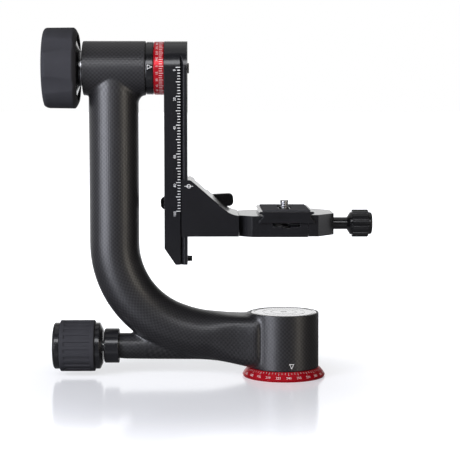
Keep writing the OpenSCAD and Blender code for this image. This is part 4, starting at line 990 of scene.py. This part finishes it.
def makeTiltKnob():
    k = tiltKnob
    at = (0, 0, tiltZ)
    r, face, back, n = k["radius"], k["face"], k["back"], k["round"]
    rim = [(r - n + n * math.sin(math.radians(15 * i)), face + n - n * math.cos(math.radians(15 * i)))
           for i in range(7)]
    plateR, coreR, capR = k["plateR"], k["coreR"], k["capR"]
    plateX, seatX = back - k["plateDeep"], face + k["capDeep"]
    inside = [(r, back - 2.6), (r - 1.4, back - 1.4), (24.4, back), (plateR, back), (plateR, plateX),
              (coreR, plateX), (coreR, seatX), (capR, seatX)]
    grip = turned("tiltKnobGrip", [(capR, face)] + rim + inside, at, "X", 144)
    out = r + k["scallopR"] - k["depth"]
    for i in range(k["scallops"]):
        tool = rod("scallop", k["scallopR"], face - 12, back + 12, "X", (0, 0, tiltZ + out), 160)
        tool.data.transform(turnAbout("Y", (face, 0, tiltZ + out), -k["lean"]))
        tool.data.transform(turnAbout("X", at, 90 - k["firstScallop"] - 360 / k["scallops"] * i))
        cut(grip, tool)
    applyModifier(grip, "REMESH", mode="VOXEL", voxel_size=k["voxel"] * mm, use_smooth_shade=True)
    applyModifier(grip, "SMOOTH", factor=0.5, iterations=3)
    crisp(grip, 0.0, smoothAngle=60, weighted=False)
    done(grip, "tiltKnobGrip", "tilt_knob", "rubber", "tilt_knob_grip")

    core = turned("tiltKnobCore", [(8.05, -161.5), (14.0, -161.5), (14.0, -148.5), (23.5, -148.5),
                                   (23.5, -148.2), (14.9, -145.5), (12.9, -144.7), (12.9, -143.65),
                                   (5.4, -143.65), (5.4, -151.4), (8.05, -151.4)], at, "X", 112)
    crisp(core, 0.3, 2, 25)
    done(core, "tiltKnobCore", "tilt_knob", "black_anodised", "tilt_knob_core")
    dome = k["dome"]
    arc = [(x, k["capFace"] + dome - math.sqrt(dome ** 2 - x * x)) for x in (0, 2.5, 5, 7.5, 9.2)]
    cap = turned("tiltKnobCap", arc + [(9.7, -169.3), (10.0, -168.9), (10.0, -165.5), (0, -165.5)],
                 at, "X", 96, close=False)
    crisp(cap, 0.0, smoothAngle=40)
    done(cap, "tiltKnobCap", "tilt_knob", "rubber", "tilt_knob_cap")


makeTiltScale()
makeTiltKnob()


# swing rail

rail = {"front": -19.0, "zero": 219.75, "pitch": 2.0, "ticks": 51, "right": -73.5,
        "shortTick": 2.1, "longTick": 3.1, "line": 0.52, "sunk": 0.02,
        "numberX": -77.5, "numberTall": 1.75, "numberDrop": 2.0}


def makeRail():
    s = rail
    body = dressed("swing_rail", 0.35, 3, 25)
    short, long = flatMark("tick", s["shortTick"], s["line"]), flatMark("tick", s["longTick"], s["line"])
    marks, y = [], s["front"] + s["sunk"]
    for k in range(s["ticks"]):
        main = k % 5 == 0
        width = s["longTick"] if main else s["shortTick"]
        marks.append(onFront(again(long if main else short), s["right"] - width / 2, y,
                             s["zero"] - s["pitch"] * k))
    for k in range(0, s["ticks"], 10):
        number = numberMark(str(2 * k), s["numberTall"])
        marks.append(onFront(number, s["numberX"], y, s["zero"] - s["pitch"] * k - s["numberDrop"],
                             upwards=True))
    bpy.data.objects.remove(short)
    bpy.data.objects.remove(long)
    done(body, "swingRail", "swing", "black_anodised", "swing_rail",
         marks=[(m, whitePaint) for m in marks])
    done(dressed("rail_screw", 0.25, 3), "railScrew", "swing", "black_steel", "rail_screw")
    done(dressed("rail_stop_screw", 0.2, 3), "railStopScrew", "swing", "black_steel", "rail_stop_screw")


makeRail()


# platform, clamp and camera plate

platform = {"markX": -67.6, "markZ": 137.8, "markY": -29.98, "line": (6.0, 0.34), "ringR": 1.45,
            "holeR": 1.0, "jawCorner": [(-54, 129.4), (-54, 141), (-65.6, 141)]}


def makePlatform():
    p = platform
    bracket = dressed("platform_bracket", 0.45, 3, 26)
    # index mark: a ring with a line through it
    centre = (p["markX"], 0, p["markZ"])
    line = onFront(flatMark("line", *p["line"]), p["markX"], p["markY"], p["markZ"])
    dot = rod("dot", p["ringR"], p["markY"] - markThick, p["markY"], "Y", centre, 32)
    cut(dot, rod("dotHole", p["holeR"], -31, -29, "Y", centre, 32))
    done(bracket, "platformBracket", "platform", "black_anodised", "platform_bracket",
         marks=[(line, whitePaint), (dot, whitePaint)])
    jaw = dressed("rail_jaw", 0.0)
    # its upper corner follows the bracket's slope
    cut(jaw, cutOut("jawCorner", p["jawCorner"], "XZ", 10, 30))
    crisp(jaw, 0.4, 3)
    done(jaw, "railJaw", "rail_jaw", "black_anodised", "rail_jaw")
    done(dressed("bar_knob", 0.7, 4, 25), "barKnob", "bar_knob", "black_gloss", "bar_knob")
    done(dressed("clamp_body", 0.8, 4), "clampBody", "platform", "black_anodised", "clamp_body")
    done(dressed("clamp_jaw", 0.8, 4), "clampJaw", "clamp_jaw", "black_anodised", "clamp_jaw")
    done(dressed("clamp_knob", 0.25, 2, 30, 40), "clampKnob", "clamp_knob", "black_gloss", "clamp_knob")
    done(dressed("clamp_knob_cap", 0.25, 3), "clampKnobCap", "clamp_knob", "black_gloss",
         "clamp_knob_cap")
    done(dressed("camera_plate", 0.35, 3), "cameraPlate", "plate", "black_anodised", "camera_plate")
    done(dressed("plate_pad", 0.25, 2), "platePad", "plate", "rubber", "plate_pad")


cameraScrew = {"threadFrom": 121.6, "pitch": 1.27, "root": 2.55, "crest": 3.175, "headR": 6.0,
               "headFrom": 112.8, "headTo": 115.4, "neckR": 2.7, "top": 126.2}


def makeCameraScrew():
    # a quarter-inch screw, its thread cut as fine grooves above the neck
    c = cameraScrew
    low, pitch, root, crest = c["threadFrom"], c["pitch"], c["root"], c["crest"]
    headR, neckR, under, over = c["headR"], c["neckR"], c["headFrom"], c["headTo"]
    profile = [(0, under), (headR, under), (headR, over), (neckR, over), (neckR, low - 0.2)]
    for k in range(3):
        z = low + pitch * k
        profile += [(crest, z), (crest, z + 0.16), (root, z + 0.62), (root, z + 0.72)]
    profile += [(crest, low + pitch * 3), (crest, c["top"] - 0.5), (neckR, c["top"]), (0, c["top"])]
    body = turned("cameraScrew", profile, (0, 0, 0), "Z", 64, close=False)
    cut(body, block("coinSlot", (-8, -0.7, 111.8), (8, 0.7, 113.8)))
    crisp(body, 0.0, smoothAngle=35)
    done(body, "cameraScrew", "camera_screw", "steel", "camera_screw")


makePlatform()
makeCameraScrew()


# lamps, camera, floor and room

studio = {
    "cameraPlace": (-55.0, -996.0, 192.0),
    "pitch": 5.0,
    "yaw": 0.94,
    "lens": 109.6,
    "leftBox": {"azimuth": -45, "height": 130, "width": 540, "tall": 900, "distance": 900, "power": 13.0,
                "colour": (0.88, 0.90, 1.0)},
    "rightBox": {"azimuth": 50, "height": 130, "width": 280, "tall": 900, "distance": 900, "power": 2.8,
                 "colour": (1.0, 0.92, 0.80)},
    "frontBox": {"azimuth": -6, "height": 560, "width": 620, "tall": 240, "distance": 800, "power": 2.2,
                 "colour": (0.95, 0.96, 1.0)},
    "topBox": {"place": (-50, 100, 900), "power": 1.0, "size": 900},
    "boxAim": (-60, 0, 130),
    # how bright the room looks to the head: (azimuth, brightness), where azimuth 0.5 is straight
    # behind it, 0.25 on its left and 0.75 on its right
    "walls": [(0.0, 0.02), (0.17, 0.03), (0.235, 0.26), (0.30, 0.22), (0.40, 0.16), (0.445, 0.9),
              (0.5, 1.0), (0.545, 0.9), (0.575, 0.10), (0.63, 0.03), (1.0, 0.02)],
    "wallTop": 0.15,
    "wallFade": (0.25, 0.75),
    "floorGlow": 0.33,
    "glowCentre": (-0.07, -0.03, 0),  # this and the next two in metres
    "glowFade": (0.08, 0.30),
    "mirrorFade": (0.1, 0.8),
}


def softBox(name, settings):
    # a rectangular lamp at its azimuth from straight in front, aimed at the head
    turn = math.radians(settings["azimuth"] - 90)
    middle = Vector(studio["boxAim"])
    reach, rise = settings["distance"], settings["height"] - middle.z
    place = middle + Vector((reach * math.cos(turn), reach * math.sin(turn), rise))
    lamp = bpy.data.lights.new(name, "AREA")
    lamp.shape = "RECTANGLE"
    lamp.size, lamp.size_y = settings["width"] * mm, settings["tall"] * mm
    lamp.energy = settings["power"]
    lamp.color = settings["colour"]
    obj = bpy.data.objects.new(name, lamp)
    scene.collection.objects.link(obj)
    obj.location = place * mm
    obj.rotation_euler = ((middle - place) * mm).to_track_quat("-Z", "Y").to_euler()


for name in ("leftBox", "rightBox", "frontBox"):
    softBox(name, studio[name])
top = bpy.data.lights.new("topBox", "AREA")
top.shape = "SQUARE"
top.size = studio["topBox"]["size"] * mm
top.energy = studio["topBox"]["power"]
topObj = bpy.data.objects.new("topBox", top)
scene.collection.objects.link(topObj)
topObj.location = Vector(studio["topBox"]["place"]) * mm
print("lamps set")

camData = bpy.data.cameras.new("camera")
camData.lens = studio["lens"]
camData.sensor_width = 36
camera = bpy.data.objects.new("camera", camData)
scene.collection.objects.link(camera)
camera.location = Vector(studio["cameraPlace"]) * mm
camera.rotation_euler = (math.radians(90 - studio["pitch"]), 0, -math.radians(studio["yaw"]))
scene.camera = camera
print("camera set")

# white floor: it glows for the camera, more with distance, and is lit near the head so its shadow shows
bpy.ops.mesh.primitive_plane_add(size=60, location=(0, 20, 0))
floor = bpy.context.object
floor.name = "floor"
bpy.ops.object.transform_apply(location=True, rotation=True, scale=True)
mat, nodes, links, shader = newMaterial("whiteFloor")
shader.inputs["Roughness"].default_value = 0.14
coords = node(nodes, "ShaderNodeTexCoord").outputs["Object"]
path = node(nodes, "ShaderNodeLightPath")
bounced, seen = (0.25, 0.25, 0.26, 1), (0.86, 0.87, 0.9, 1)
links.new(mixed(nodes, links, path.outputs["Is Camera Ray"], bounced, seen), shader.inputs["Base Color"])
fromHead = node(nodes, "ShaderNodeVectorMath", operation="DISTANCE")
links.new(coords, fromHead.inputs[0])
fromHead.inputs[1].default_value = studio["glowCentre"]
split = node(nodes, "ShaderNodeSeparateXYZ")
links.new(coords, split.inputs[0])
glow = fade(nodes, links, fromHead.outputs["Value"], *studio["glowFade"], studio["floorGlow"], 1.0)
# behind the head the floor also glows for glossy rays, though it is no lamp: a painted reflection of
# bright floor in the head's shiny faces
behind = fade(nodes, links, split.outputs["Y"], *studio["mirrorFade"], 0.0, 0.9)
toCamera = maths(nodes, links, "MULTIPLY", path.outputs["Is Camera Ray"], glow)
toGloss = maths(nodes, links, "MULTIPLY", path.outputs["Is Glossy Ray"], behind)
shader.inputs["Emission Color"].default_value = (0.95, 0.96, 1, 1)
links.new(maths(nodes, links, "ADD", toCamera, toGloss), shader.inputs["Emission Strength"])
floor.data.materials.append(mat)

# the room: white for the camera, and by azimuth and height for what the head mirrors
world = bpy.data.worlds.new("studio")
scene.world = world
world.use_nodes = True
nodes, links = world.node_tree.nodes, world.node_tree.links
background = nodes["Background"]
path = node(nodes, "ShaderNodeLightPath")
coords = node(nodes, "ShaderNodeTexCoord").outputs["Generated"]
split = node(nodes, "ShaderNodeSeparateXYZ")
links.new(coords, split.inputs[0])
azimuth = maths(nodes, links, "ARCTAN2", split.outputs["X"], split.outputs["Y"])
share = maths(nodes, links, "MULTIPLY_ADD", azimuth, 0.5 / math.pi)
share.node.inputs[2].default_value = 0.5
walls = ramp(nodes, links, share, [(place, grey(value)) for place, value in studio["walls"]])
strength = node(nodes, "ShaderNodeMix", data_type="FLOAT")
links.new(path.outputs["Is Camera Ray"], strength.inputs[0])
upward = fade(nodes, links, split.outputs["Z"], *studio["wallFade"], 1.0, studio["wallTop"])
links.new(maths(nodes, links, "MULTIPLY", walls, upward), strength.inputs[2])
strength.inputs[3].default_value = 1.0
links.new(strength.outputs[0], background.inputs["Strength"])
background.inputs["Color"].default_value = (1, 1, 1, 1)

scene.view_settings.view_transform = "Standard"
